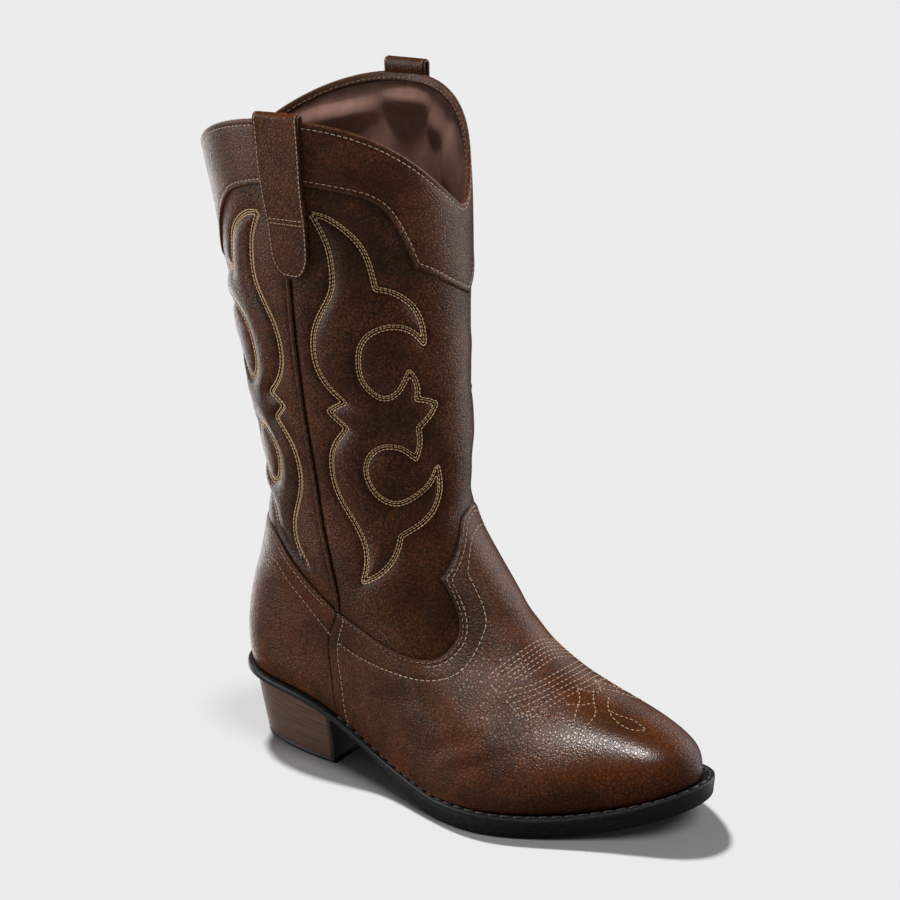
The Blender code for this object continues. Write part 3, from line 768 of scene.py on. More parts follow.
def make_grain():
    """Pebbles are the cells of a wobbling Voronoi pattern, high in the middle and low at their borders;
    a wider net of the same kind draws the creases, and fine noise roughens it all."""
    group, start, end = new_group(
        "pebbled grain",
        (("Vector", "Vector", None), ("Pebbles", "Float", 650.0), ("Net", "Float", 210.0)),
        (("Height", "Float"), ("Valley", "Float"), ("Crease", "Float")),
    )
    vector = start.outputs["Vector"]

    def vector_math(operation, **inputs):
        """A Vector Math node's result."""
        return add_node(group, "VectorMath", {"operation": operation}, **inputs).outputs[0]

    def wobbled(scale, reach):
        """Places moved to and fro by noise, by half of reach at most."""
        noise = add_node(group, "TexNoise", Vector=vector, Scale=scale, Detail=2.0)
        centred = vector_math("SUBTRACT", i0=noise.outputs["Color"], i1=(0.5, 0.5, 0.5))
        return vector_math("ADD", i0=vector, i1=vector_math("SCALE", i0=centred, Scale=reach))

    def net(place, size):
        """Distance from the borders of Voronoi cells."""
        cells = add_node(group, "TexVoronoi", {"feature": "DISTANCE_TO_EDGE"}, Vector=place, Scale=size)
        return cells.outputs["Distance"]

    border = net(wobbled(*PEBBLE_WOBBLE), start.outputs["Pebbles"])
    dome = soft_step(group, border, 0.0, DOME_TOP)
    valley = calc(group, "SUBTRACT", 1.0, soft_step(group, border, 0.0, VALLEY_END))
    line = soft_step(group, net(wobbled(*NET_WOBBLE), start.outputs["Net"]), 0.0, NET_LINE)
    where = add_node(group, "TexNoise", Vector=vector, Scale=NET_PATCHES, Detail=3.0)
    strength = soft_step(group, where.outputs["Fac"], *NET_PATCH_STEP)
    crease = calc(group, "MULTIPLY", calc(group, "SUBTRACT", 1.0, line), strength)
    fine = add_node(group, "TexNoise", Vector=vector, Scale=FINE_SCALE, Detail=2.0)
    height = calc(group, "MULTIPLY", dome, DOME_SHARE)
    height = calc(group, "MULTIPLY_ADD", fine.outputs["Fac"], FINE_SHARE, height)
    height = calc(group, "MULTIPLY_ADD", crease, -NET_DEPTH, height)
    for label, value in (("Height", height), ("Valley", valley), ("Crease", crease)):
        feed(group, end.inputs[label], value)
    return group


GRAIN = make_grain()
print("group:", GRAIN.name, len(GRAIN.nodes), "nodes")


# %% Burnish
# Colours of the leather. DEEP darkens the grain's creases, and through the mask named seam it is painted
# shade along stitching, seams and edges. The light rubbed brown stands for wear and painted sheen on edges.
BROWN = (0.146, 0.0465, 0.0130, 1)
DARK_BROWN = (0.028, 0.0095, 0.0034, 1)
RED_BROWN = (0.162, 0.0430, 0.0108, 1)
RUB_AND_SHEEN_BROWN = (0.175, 0.092, 0.058, 1)
DEEP = (0.010, 0.0045, 0.003, 1)
CLOUD_SCALE = 34.0
PATCH_SCALE = 15.0
SPECK_SCALE = 820.0
# Noise values at which a second colour starts to show and shows fully
PATCH_STEP = (0.44, 0.60)
CLOUD_STEP = (0.42, 0.62)
SPECK_STEP = (0.42, 0.60)
# Shares of the second colour where it shows fully
CLOUD_SHARE = 0.55
# The rub share lightens with wear and painted sheen
RUB_AND_SHEEN_SHARE = 0.8
VALLEY_SHARE = 0.70
CREASE_SHARE = 0.36
DEEP_SHARE = 0.85
LEAST_ROUGH = 0.27
CLOUD_ROUGH = 0.14
VALLEY_ROUGH = 0.12
POLISH_SMOOTHS = 0.16


def make_burnish_and_painted_light():
    """Clouds of noise mix a base colour with a darker and a redder one; the grain's valleys and creases
    darken it, the seam mask lays painted shade on it, the mask for rubbing and sheen lightens it with wear
    and painted sheen, and polished places turn smoother."""
    masks = ("Valley", "Crease", "Seam", "Rub", "Polish")
    group, start, end = new_group(
        "burnish_and_painted_light",
        (("Vector", "Vector", None), ("Base", "Color", BROWN), ("Dark", "Color", DARK_BROWN),
         ("Red", "Color", RED_BROWN), *((mask, "Float", 0.0) for mask in masks), ("Specks", "Float", 0.8)),
        (("Color", "Color"), ("Roughness", "Float")),
    )
    vector, base, darker, redder, valley, crease, seam, rub, polish, speckled = start.outputs[:10]

    def noise(scale, **inputs):
        """Grey noise over the piece."""
        return add_node(group, "TexNoise", Vector=vector, Scale=scale, **inputs).outputs["Fac"]

    def tinted(colour, share, amount, towards):
        """A colour drawn towards another by a share times an amount."""
        return blend_colours(group, calc(group, "MULTIPLY", share, amount), colour, towards)

    clouds = noise(CLOUD_SCALE, Detail=5.0, Roughness=0.6)
    patches = noise(PATCH_SCALE, Detail=4.0, Roughness=0.6)
    specks = noise(SPECK_SCALE, Detail=2.0)
    colour = blend_colours(group, soft_step(group, patches, *PATCH_STEP), base, redder)
    colour = tinted(colour, soft_step(group, clouds, *CLOUD_STEP), CLOUD_SHARE, darker)
    colour = tinted(colour, soft_step(group, specks, *SPECK_STEP), speckled, darker)
    colour = tinted(colour, rub, RUB_AND_SHEEN_SHARE, RUB_AND_SHEEN_BROWN)
    colour = tinted(colour, valley, VALLEY_SHARE, darker)
    lines = calc(group, "MAXIMUM", calc(group, "MULTIPLY", crease, CREASE_SHARE), seam)
    colour = tinted(colour, lines, DEEP_SHARE, DEEP)
    rough = calc(group, "MULTIPLY_ADD", clouds, CLOUD_ROUGH, LEAST_ROUGH)
    rough = calc(group, "MULTIPLY_ADD", valley, VALLEY_ROUGH, rough)
    rough = calc(group, "MULTIPLY_ADD", polish, -POLISH_SMOOTHS, rough)
    feed(group, end.inputs["Color"], colour)
    feed(group, end.inputs["Roughness"], rough)
    return group


BURNISH_AND_PAINTED_LIGHT = make_burnish_and_painted_light()
print("group:", BURNISH_AND_PAINTED_LIGHT.name, len(BURNISH_AND_PAINTED_LIGHT.nodes), "nodes")


# %% [markdown]
# ## The materials
#
# The shaft is a coarser hide with darker specks, and the pieces laid on it a smoother one. Thread, rubber,
# the pressed board of the heel, lining and insole need only two colours and a little noise. A photograph
# of each could be wrapped round the boot, but patterns worked out by nodes stay sharp at any distance.

# %% Leather
LEATHER_GLOSS = 0.33
POLISH_FLATTENS = -0.72


def leather(name, pebbles, relief, specks):
    """Pebbled and burnished leather; the mask named seam darkens it with painted shade, the one for rubbing
    and sheen lightens it with wear and painted sheen, and the one named polish makes it smoother."""
    made, tree, place = new_finish(name)
    masks = {
        label: add_node(tree, "Attribute", {"attribute_name": label.lower()}).outputs["Fac"]
        for label in ("Seam", "Rub", "Polish")
    }
    grain = add_node(tree, "Group", {"node_tree": GRAIN}, Vector=place, Pebbles=pebbles)
    valleys = {label: grain.outputs[label] for label in ("Valley", "Crease")}
    browns = {"Base": BROWN, "Dark": DARK_BROWN, "Red": RED_BROWN}
    burnish_and_painted_light = add_node(
        tree, "Group", {"node_tree": BURNISH_AND_PAINTED_LIGHT}, Vector=place, Specks=specks, **browns, **valleys, **masks)
    flatter = calc(tree, "MULTIPLY_ADD", masks["Polish"], POLISH_FLATTENS, 1.0)
    height = calc(tree, "MULTIPLY", grain.outputs["Height"], flatter)
    dress(tree, burnish_and_painted_light.outputs["Color"], burnish_and_painted_light.outputs["Roughness"], height, relief, LEATHER_GLOSS)
    return made


shaft_leather = leather("shaft leather", 600.0, 0.15, 0.68)
overlay_leather = leather("overlay leather", 560.0, 0.14, 0.34)
print("leather:", shaft_leather.name, overlay_leather.name)


# %% Thread, rubber, heel board, lining and insole cloth
ROUGHNESS_SPREAD = 0.2
MIX_STEP = (0.35, 0.65)


def plain_finish(name, first, second, scale, roughness, relief, stretch=(1, 1, 1), detail=4.0, gloss=0.5):
    """A finish of two colours mixed by noise, which also gives its relief and varies its roughness."""
    made, tree, place = new_finish(name)
    mapped = add_node(tree, "Mapping", Vector=place, Scale=stretch).outputs[0]
    noise = add_node(tree, "TexNoise", Vector=mapped, Scale=scale, Detail=detail).outputs["Fac"]
    colour = blend_colours(tree, soft_step(tree, noise, *MIX_STEP), (*first, 1), (*second, 1))
    rough = calc(tree, "MULTIPLY_ADD", noise, ROUGHNESS_SPREAD, roughness - ROUGHNESS_SPREAD / 2)
    dress(tree, colour, rough, noise, relief, gloss)
    return made


gold_thread = plain_finish("gold thread", (0.70, 0.42, 0.20), (0.90, 0.62, 0.35), 1800.0, 0.45, 0.05)
tan_thread = plain_finish("tan thread", (0.46, 0.29, 0.19), (0.68, 0.47, 0.34), 1800.0, 0.55, 0.05)
# A darker copy of the tan thread: painted shade for the stitches inside the collar
shaded_thread = plain_finish("shaded thread", (0.17, 0.10, 0.07), (0.27, 0.17, 0.12), 1800.0, 0.6, 0.05)
black_rubber = plain_finish(
    "black rubber", (0.013, 0.0127, 0.0124), (0.020, 0.0195, 0.019), 700.0, 0.5, 0.05)
# A lighter copy of the black rubber: painted highlight on the tops of the rim's moulded stitches
highlight_rubber_pads = plain_finish("highlight rubber pads", (0.022, 0.0215, 0.021), (0.036, 0.035, 0.034), 700.0, 0.5, 0.05)
heel_board = plain_finish(
    "heel board", (0.074, 0.041, 0.027), (0.130, 0.075, 0.049), 34.0, 0.55, 0.05, (1, 1, 50), 5.0, 0.25)
lining_cloth = plain_finish(
    "lining", (0.320, 0.178, 0.140), (0.400, 0.226, 0.178), 120.0, 0.45, 0.03, gloss=0.16)
insole_cloth = plain_finish("insole cloth", (0.08, 0.048, 0.038), (0.11, 0.068, 0.054), 1500.0, 0.8, 0.06)
print("finishes made:", len(bpy.data.materials))

# %% [markdown]
# ## The shaft
#
# The leg of the boot is two panels, front and back, joined at the side seams. They could be one tube,
# but on the real boot the quilting stops at the seam and the scroll is mirrored there. So each panel is a
# grid of angle and slice number, pushed out along the normal by the quilting and pulled in by the
# creases. The grid runs on under the vamp, the counter and the collar band, as the real panel does.

# %% Panels of the shaft
PANEL_WALL = 1.0
PANEL_COLUMNS = 84
PANEL_ROWS = 165
PANEL_TOP = 11.78
FRONT_PANEL_LOW = 4.5
BACK_PANEL_LOW = 4.75
SEAM_DIP = (0.9, 2.2)
SEAM_DIP_END = 10.9
SEAM_DIP_FADE = 0.3
SEAM_FLAT = 8.0
EDGE_FLAT = (0.8, 5.0)
# Painted shade: its share on the line, and the width of its bell
SCROLL_SHADE = (0.8, 2.0)
SEAM_SHADE = (0.7, 1.6)
UNDER_EDGE_SHADE = (0.55, 2.2)


def beside(gap, share, width):
    """A bell of some share and width, for dips and shades along a line."""
    return share * bell(gap, width)


def half_panel(to_middle, low, loop):
    """Half a panel from the side seam to its middle: grid, height over the skin and a mask of painted shade.
    """
    levels = even_levels(low, PANEL_TOP, PANEL_ROWS)
    level, share = np.meshgrid(levels, np.linspace(0, 1, PANEL_COLUMNS), indexing="ij")
    seam = seam_angle(level)
    degrees = seam + (to_middle - seam) * share
    point = skin(degrees, level)
    gap = gap_to(point, loop)
    to_seam = np.linalg.norm(point - skin(seam, level), axis=-1)
    height = quilt(gap, inside(degrees, level, loop)) * np.clip(to_seam / SEAM_FLAT, 0, 1)
    height -= np.clip((SEAM_DIP_END - level) / SEAM_DIP_FADE, 0, 1) * beside(to_seam, *SEAM_DIP)
    height += crease_height(point, SHAFT_CREASES)
    return degrees, level, height, np.maximum(beside(gap, *SCROLL_SHADE), beside(to_seam, *SEAM_SHADE))


def add_panel(name, to_middle, low, loop):
    """A whole panel: the half from the outer seam, then the same mirrored to the inner seam."""
    degrees, level, height, dark = half_panel(to_middle, low, loop)
    flip = np.s_[:, -2::-1]
    degrees = np.concatenate([degrees, 2 * to_middle - degrees[flip]], 1)
    level, height, dark = (np.concatenate([part, part[flip]], 1) for part in (level, height, dark))
    point, normal, _, _ = skin_frame(degrees, level)
    foot_edges = (vamp_edge, past_front(vamp_edge), counter_edge, other_side(counter_edge))
    height = height * (1 - beside(gap_to(point, *foot_edges), *EDGE_FLAT))
    to_edge = gap_to(point, *foot_edges, band_edge, past_front(band_edge))
    dark = np.maximum(dark, beside(to_edge, *UNDER_EDGE_SHADE))
    quads = grid_quads(*degrees.shape)
    if to_middle == 0:
        quads = quads[:, ::-1]
    outer = point + normal * height[..., None]
    # The mask named seam is painted shade along the scroll, the side seam and under the edges of vamp,
    # counter and band.
    piece = add_piece(name, outer, quads, shaft_leather, "upper", {"seam": dark})
    thicken(piece, PANEL_WALL)


add_panel("shaft_front", 180, FRONT_PANEL_LOW, scroll)
add_panel("shaft_back", 0, BACK_PANEL_LOW, back_scroll)

# %% [markdown]
# ## Vamp and counter
#
# The vamp covers the front of the foot and runs up the throat in a tongue; the counter cups the heel.
# They could be cut out of a copy of the last with a Boolean, which leaves ragged faces at the edge. So
# both are cut on the skin from the feather edge to their top edge, as grids stretched between the edge
# lines: every row follows the edge it is sewn along. They lie on the upper like the solids do.

# %% Rows sewn along vamp and counter
OVERLAY_STAND = 1.0
EDGE_ROWS_MM = (2.0, 4.1)
VAMP_THIRD_RISE = 0.03
COUNTER_THIRD_RISE = 0.1
# Shares of the way on which a traced third row goes on to the boot's front or back line
VAMP_THIRD_JOIN = np.linspace(0.1, 1, 10)
COUNTER_THIRD_JOIN = np.linspace(0, 0.97, 30)
SIDE_ROW_TURN = 3.2
SIDE_ROW_SLICES = np.linspace(0.05, 4.85, 80)

# The third row of stitching on each piece, in pixels of the photograph
VAMP_THIRD_ROW = (
    ((338, 643), (358, 657), (380, 668), (405, 677), (430, 681), (453, 676), (470, 661), (481, 640),
     (486, 624), (484, 609), (475, 588), (467.5, 573)),
    ((467.5, 573), (469, 561), (471, 544), (474, 532)),
)
COUNTER_THIRD_ROW = ((277, 562), (282, 572), (293, 588), (305, 603), (318, 620), (331, 636))


def bridge(start, end, shares):
    """Places on the straight way from start to end, at some shares of it."""
    return start + (end - start) * shares[:, None]


vamp_rows = [shift(vamp_edge, -inset) for inset in EDGE_ROWS_MM]
third = on_skin(np.concatenate([trace(arc) for arc in VAMP_THIRD_ROW]), OVERLAY_STAND)
third_top = third[-1, 1] + VAMP_THIRD_RISE
third_end = np.array((180 + front_lean(third_top), third_top))
vamp_rows.append(np.concatenate([third, bridge(third[-1], third_end, VAMP_THIRD_JOIN)]))
vamp_rows.append(np.stack([seam_angle(SIDE_ROW_SLICES) + SIDE_ROW_TURN, SIDE_ROW_SLICES], -1))
counter_rows = [shift(counter_edge, -inset) for inset in EDGE_ROWS_MM]
back_third = on_skin(trace(COUNTER_THIRD_ROW), OVERLAY_STAND)
third_start = np.array((0, back_third[0, 1] + COUNTER_THIRD_RISE))
round_back = bridge(third_start, back_third[0], COUNTER_THIRD_JOIN)
counter_rows.append(np.concatenate([round_back, back_third]))
print("rows:", len(vamp_rows), "on the vamp,", len(counter_rows), "on the counter")

# %% Height and masks of sewn-on leather
OVERLAY = 1.0
EDGE_BULGE = (0.35, 0.9)
EDGE_BULGE_PLACE = 1.4
EDGE_DROP = (0.7, 0.55)
ROW_DIP = 0.28
ROW_DIP_WIDTH = 1.1
ROW_SHADE = (0.45, 0.9)
CUT_SHADE = (0.5, 0.6)
# Painted shade low on the toe, darkest next to the rim
TOE_SHADE_START = 150.0
TOE_SHADE_RUN = 70.0
TOE_SHADE_HEIGHT = 22.0
TOE_SHADE_SHARE = 0.42
POLISH_START = 172.0
POLISH_RUN = 52.0
POLISH_EDGE = 8.0
POLISH_FADE = 12.0


def edge_shape(gap):
    """Height of a cut and folded edge by the distance from it: it bulges, then drops at the very edge."""
    return beside(gap - EDGE_BULGE_PLACE, *EDGE_BULGE) - beside(gap, *EDGE_DROP)


def overlay_height(point, edge, rows, creases, mirror):
    """Height of sewn leather over its flat lie: pulled in along its rows, rounded off at its edge; and a
    mask of painted shade along the rows and at the edge.
    """
    height = crease_height(point, creases)
    dark = np.zeros(point.shape[:-1])
    for row in rows:
        for line in (row, mirror(row)):
            gap = gap_to(point, line)
            height -= beside(gap, ROW_DIP, ROW_DIP_WIDTH)
            dark = np.maximum(dark, beside(gap, *ROW_SHADE))
    gap = gap_to(point, edge, mirror(edge))
    return height + edge_shape(gap), np.maximum(dark, beside(gap, *CUT_SHADE))


def toe_painted_shade(point):
    """Painted shade low on the toe: grows along the toe and fades with the height over the rim."""
    forward = np.clip((point[..., 0] - TOE_SHADE_START) / TOE_SHADE_RUN, 0, 1)
    return TOE_SHADE_SHARE * forward * np.exp(-(point[..., 2] - welt_top(point[..., 0])) / TOE_SHADE_HEIGHT)


def toe_polish(point):
    """Smoothness of the leather drawn tight over the toe: a soft step along it, fading to its inner side."""
    outer_share = np.clip((POLISH_EDGE - point[..., 1]) / POLISH_FADE, 0, 1)
    return ease((point[..., 0] - POLISH_START) / POLISH_RUN) * outer_share


def add_overlay(name, degrees, level, edge, rows, creases, node, mirror):
    """A sewn-on piece over a grid of angles and slice numbers."""
    point, normal, _, _ = skin_frame(degrees, level)
    height, dark = overlay_height(point, edge, rows, creases, mirror)
    outer = point + normal * (OVERLAY_STAND + height)[..., None]
    # The mask named seam is painted shade along the rows, at the cut edge and low on the toe.
    masks = {"seam": np.maximum(dark, toe_painted_shade(point)), "polish": toe_polish(point)}
    quads = grid_quads(*degrees.shape)
    thicken(add_piece(name, outer, quads, overlay_leather, node, masks), OVERLAY)


edge_stands = edge_shape(np.array((0.0, EDGE_BULGE_PLACE))).round(2).tolist()
print("edge stands", edge_stands, "mm at the cut and on its bulge")

# %% Vamp
FEATHER_START = 0.012
VAMP_GRID_ROWS = 96
VAMP_PLAY = 0.15


def add_vamp():
    """Vamp grid: rows run from the feather edge to the top edge, columns from seam to toe to seam."""
    share = np.linspace(0, 1, len(vamp_edge))
    height = np.linspace(FEATHER_START, 1, VAMP_GRID_ROWS)[:, None]
    low_angle = SIDE_SEAM[0, 0]
    start_angle, start_level = vamp_edge[0]
    feather = low_angle + (180 - low_angle) * share
    bow = seam_angle(height * start_level) + VAMP_PLAY - ((1 - height) * low_angle + height * start_angle)
    degrees = (1 - height) * feather + height * vamp_edge[:, 0] + (1 - share) ** 2 * bow
    level = height * vamp_edge[:, 1] + 0 * share
    to_front = 180 + front_lean(level[:, -1:]) - degrees[:, -1:]
    degrees = degrees + to_front * share ** 2
    far = past_front(np.stack([degrees.ravel(), level.ravel()], -1))[:, 0].reshape(degrees.shape)
    degrees = np.concatenate([degrees, far[:, -2::-1]], 1)
    level = np.concatenate([level, level[:, -2::-1]], 1)
    add_overlay(
        "vamp_leather_piece", degrees, level, vamp_edge, vamp_rows, VAMP_CREASES, "vamp", past_front)


add_vamp()

# %% Counter
COUNTER_GRID_ROWS = 70
COUNTER_PLAY = 0.1


def add_counter():
    """Counter grid: from the outer seam round the back to the inner seam, up to its dipping edge."""
    height = np.linspace(FEATHER_START, 1, COUNTER_GRID_ROWS)[:, None]
    corner_angle, corner_level = counter_edge[-1]
    share = counter_edge[:, 0] / corner_angle
    degrees = share * (seam_angle(height * corner_level) - COUNTER_PLAY)
    level = height * counter_edge[:, 1] + 0 * share
    degrees = np.concatenate([-degrees[:, :0:-1], degrees], 1)
    level = np.concatenate([level[:, :0:-1], level], 1)
    add_overlay(
        "counter_leather_piece", degrees, level, counter_edge, counter_rows, (), "counter", other_side)


add_counter()

# %% [markdown]
# ## Collar band and lining
#
# The band is sewn round the top of the shaft and rolled over the edge. A bevel could round the edge of a
# thick sheet, but the roll is the seam itself: the band's profile goes up the outside, over the rim in a
# half circle and a little way down inside, and that profile is carried round the collar. The lining hangs
# inside as a sheet of its own with soft folds, because it is only held at the top.

# %% Collar band
BAND_WALL = 0.75
BAND_STAND = 1.3
BAND_THIN_START = 11.55
BAND_THIN_POWER = 1.5
BAND_GRID_ROWS = 40
ROLL_RADIUS = 1.15
ROLL_STAND = 0.8
ROLL_STEPS = 10
FACING_DEPTH = 3.2
FACING_STEPS = 6
FACING_LEAN = 0.06
BAND_ROW_INSET = 2.7
COLLAR_ROW_INSET = 1.7
BAND_ROW_DIP = 0.3
BAND_ROW_DIP_WIDTH = 1.0
BAND_ROW_SHADE = (0.45, 0.8)
# Lightening of the band's edge strip: wear and painted sheen
BAND_RUB_AND_SHEEN = (0.35, 0.9)
BAND_RUB_AND_SHEEN_PLACE = 0.8
ROLL_RUB_AND_SHEEN = 0.45
COLLAR_POINTS = 240

band_columns = np.concatenate([band_edge[:, 0], past_front(band_edge)[-2:0:-1, 0]])
band_low = np.concatenate([band_edge[:, 1], band_edge[-2:0:-1, 1]])
band_row = shift(band_edge, BAND_ROW_INSET)
collar_line = np.stack([np.linspace(0, 180, COLLAR_POINTS), np.full(COLLAR_POINTS, float(COLLAR))], -1)
collar_row = shift(collar_line, -COLLAR_ROW_INSET)


def band_stand(level):
    """How far the band stands off: full below, thinner towards the rolled edge."""
    thin = np.clip((level - BAND_THIN_START) / (COLLAR - BAND_THIN_START), 0, 1) ** BAND_THIN_POWER
    return BAND_STAND + (ROLL_STAND - BAND_STAND) * thin


def add_band():
    """Band: rows up the outside, a half circle of ROLL_RADIUS over the edge, then down inside."""
    level = band_low + (COLLAR - band_low) * np.linspace(0, 1, BAND_GRID_ROWS)[:, None]
    point, normal, _, per_slice = skin_frame(np.broadcast_to(band_columns, level.shape), level)
    height = band_stand(level)
    dark = np.zeros(level.shape)
    for line, mirror in ((band_row, past_front), (collar_row, other_side)):
        gap = gap_to(point, line, mirror(line))
        height -= beside(gap, BAND_ROW_DIP, BAND_ROW_DIP_WIDTH)
        dark = np.maximum(dark, beside(gap, *BAND_ROW_SHADE))
    gap = gap_to(point, band_edge, past_front(band_edge))
    rub = beside(gap - BAND_RUB_AND_SHEEN_PLACE, *BAND_RUB_AND_SHEEN)
    outside = point + normal * (height + edge_shape(gap))[..., None]
    up_way, out_way = unit(per_slice[-1]), normal[-1]
    turn = np.linspace(0, np.pi, ROLL_STEPS + 1)[1:, None, None]
    middle = point[-1] + out_way * (ROLL_STAND - ROLL_RADIUS)
    over = middle + out_way * ROLL_RADIUS * np.cos(turn) + up_way * ROLL_RADIUS * np.sin(turn)
    drop = np.linspace(0, FACING_DEPTH, FACING_STEPS + 1)[1:, None, None]
    within = over[-1] - up_way * drop - out_way * FACING_LEAN * drop
    points = np.concatenate([outside, over, within])
    turned = np.ones((ROLL_STEPS + FACING_STEPS, len(band_columns)))
    # The mask named seam is painted shade along both rows; the lighter mask is wear and painted sheen on the
    # edge strip, the roll and the facing.
    masks = {"seam": np.concatenate([dark, 0 * turned]), "rub": np.concatenate([rub, ROLL_RUB_AND_SHEEN * turned])}
    quads = grid_quads(*points.shape[:2], round_way=True)
    piece = add_piece(
        "collar_band_piece", points, quads, overlay_leather, "collar_band", masks)
    thicken(piece, BAND_WALL)


add_band()

# %% Lining
LINING_WALL = 0.4
LINING_SLICES = (0.25, 11.93)
LINING_ROWS = 110
LINING_COLUMNS = 200
LINING_SET = 0.75
LINING_DEEP = 3.2
DEEP_START = 11.9
DEEP_RUN = 0.75
FOLD_RIDGE = 0.3
FOLD_HELD = 0.08
FOLD_FADE = 0.15
# Folds stand in from the wall; columns as for the creases
LINING_FOLDS = (
    (320, 11.76, 298, 11.68, 279, 11.72, 5.5, 4.6),
    (278, 11.77, 264, 11.79, 251, 11.80, 5.0, 5.0),
    (250, 11.74, 247.5, 11.62, 245, 11.48, 6.5, 2.6),
    (235, 11.8, 236, 11.4, 236, 10.9, 6.0, 3.4),
    (300, 11.4, 294, 11.1, 290, 10.7, 8.0, 1.5),
)


def add_lining():
    """Lining: the skin set in by the leather's wall, with soft folds that fade out at the collar."""
    turns = np.arange(LINING_COLUMNS) / LINING_COLUMNS * 360
    level, degrees = np.meshgrid(even_levels(*LINING_SLICES, LINING_ROWS), turns, indexing="ij")
    point, normal, _, _ = skin_frame(degrees, level)
    fold = np.maximum(-crease_height(point, LINING_FOLDS), -FOLD_RIDGE)
    fold = fold * np.clip((COLLAR - level - FOLD_HELD) / FOLD_FADE, 0, 1)
    inset = LINING_SET + (LINING_DEEP - LINING_SET) * ease((DEEP_START - level) / DEEP_RUN)
    points = point - normal * (inset + fold)[..., None]
    quads = grid_quads(LINING_ROWS, LINING_COLUMNS, round_way=True)
    thicken(add_piece("lining_piece", points, quads, lining_cloth, "upper"), LINING_WALL)


add_lining()

# %% [markdown]
# ## Pull straps and side piping
#
# The straps are folded strips with a loop above the collar, sewn down outside to a rounded end. The side
# seams are finished with a cord of leather, a small tube. A curve object with a bevel could make both,
# but it turns its profile freely, and a strap has to lie flat on the leg. So a profile is carried along
# a path with the skin's own directions: for a strap a rounded bar, which climbs the outside, turns over
# the collar in a half circle and goes into its edge, and for the cord a circle.

# %% Profiles carried along a path
def carried(centre, across, out, widths, heights, profile):
    """A profile carried along a path: each profile point goes sideways and outwards from the centre."""
    side = profile[:, 0] * np.reshape(widths, (-1, 1))
    lift = profile[:, 1] * np.reshape(heights, (-1, 1))
    return centre[:, None] + across[:, None] * side[..., None] + out[:, None] * lift[..., None]


def capped_tube(name, rings, finish, node, masks=None):
    """Rings joined into a tube whose ends are drawn to their middles, so it is closed."""
    first, last = rings[:1].mean(1, keepdims=True), rings[-1:].mean(1, keepdims=True)
    columns = rings.shape[1]
    points = np.concatenate([np.repeat(first, columns, 1), rings, np.repeat(last, columns, 1)])
    weld(add_piece(name, points, grid_quads(len(points), columns, round_way=True), finish, node, masks))


print("profile helpers ready")


# %% Path of a strap
STRAP_LINE = np.array(((92.6, 10.5), (93.9, 11), (94.4, 11.4), (96.2, 12)))
STRAP_WIDTH = 25.0
STRAP_THICK = 2.0
STRAP_TAPER = 0.84
STRAP_TAPER_RUN = 60.0
STRAP_ROUND = 1.05
STRAP_TIP = 0.006
# Turn of each strap's line in degrees and rise of its loop over the collar, outer strap and inner strap
STRAP_SIDES = {1: (0.0, 2.0), -1: (-2.0, 5.0)}
STRAP_CLIMB = np.linspace(10.52, 11.85, 60)
STRAP_STEP = 11.1
STRAP_STEP_RUN = 0.35
STRAP_LOOP_POINTS = 16
STRAP_WITHIN = -1.0
CAP_GAP = 0.3


def strap_path(rise):
    """The strap's middle line as slice number, distance off the upper and height over the collar."""
    on_shaft = CAP_GAP + STRAP_THICK / 2
    over_band = BAND_STAND + on_shaft
    radius = (over_band - STRAP_WITHIN) / 2
    off = on_shaft + (over_band - on_shaft) * np.clip((STRAP_CLIMB - STRAP_STEP) / STRAP_STEP_RUN, 0, 1)
    turn = np.linspace(0, np.pi, STRAP_LOOP_POINTS)
    loop_off = (over_band + STRAP_WITHIN) / 2 + radius * np.cos(turn)
    loop = np.stack([np.full_like(turn, COLLAR), loop_off, rise + radius * np.sin(turn)], -1)
    climb = np.stack([STRAP_CLIMB, off, 0 * off], -1)
    return np.concatenate([climb, loop, [(COLLAR, STRAP_WITHIN, CAP_GAP)]])


def strap_frame(side):
    """Centre, sideways direction and outward direction along the strap of one side."""
    turn, loop_rise = STRAP_SIDES[side]
    level, off, rise = strap_path(loop_rise).T
    middle = spline(STRAP_LINE[:, 1], STRAP_LINE[:, 0], level) + turn
    degrees = middle if side > 0 else 360 - middle
    point, normal, per_degree, per_slice = skin_frame(degrees, level)
    centre = point + normal * off[:, None] + unit(per_slice) * rise[:, None]
    run = unit(np.gradient(centre, axis=0))
    across = unit(per_degree)
    across = unit(across - (across * run).sum(-1, keepdims=True) * run)
    return centre, across, np.cross(across, run)


def strap_widths(centre):
    """Half width along the strap: full, and a rounded end over the first stretch of its run."""
    run = run_along(centre)
    left = np.clip(1 - run / (STRAP_ROUND * STRAP_WIDTH / 2), 0, 1)
    taper = STRAP_TAPER + (1 - STRAP_TAPER) * np.clip(run / STRAP_TAPER_RUN, 0, 1)
    return STRAP_WIDTH / 2 * taper * np.sqrt(np.maximum(1 - left ** 2, STRAP_TIP)), run


print("strap", round(run_along(strap_frame(1)[0])[-1]), "mm long")

# %% Straps
BAR_END_POINTS = 7
BAR_FLAT_POINTS = 14
BAR_FLAT = 0.9
BAR_END = 0.93
STRAP_DARK = 0.6
STRAP_DARK_FROM = 0.94


def bar_profile():
    """A bar with rounded ends, from -1 to 1 across and in height; its ends are half turns."""
    turn = np.linspace(-np.pi / 2, np.pi / 2, BAR_END_POINTS)
    ends = np.stack([BAR_END + (1 - BAR_END) * np.cos(turn), np.sin(turn)], -1)
    top = np.stack([np.linspace(BAR_FLAT, -BAR_FLAT, BAR_FLAT_POINTS), np.ones(BAR_FLAT_POINTS)], -1)
    return np.concatenate([ends, top, -ends, -top])


BAR = bar_profile()


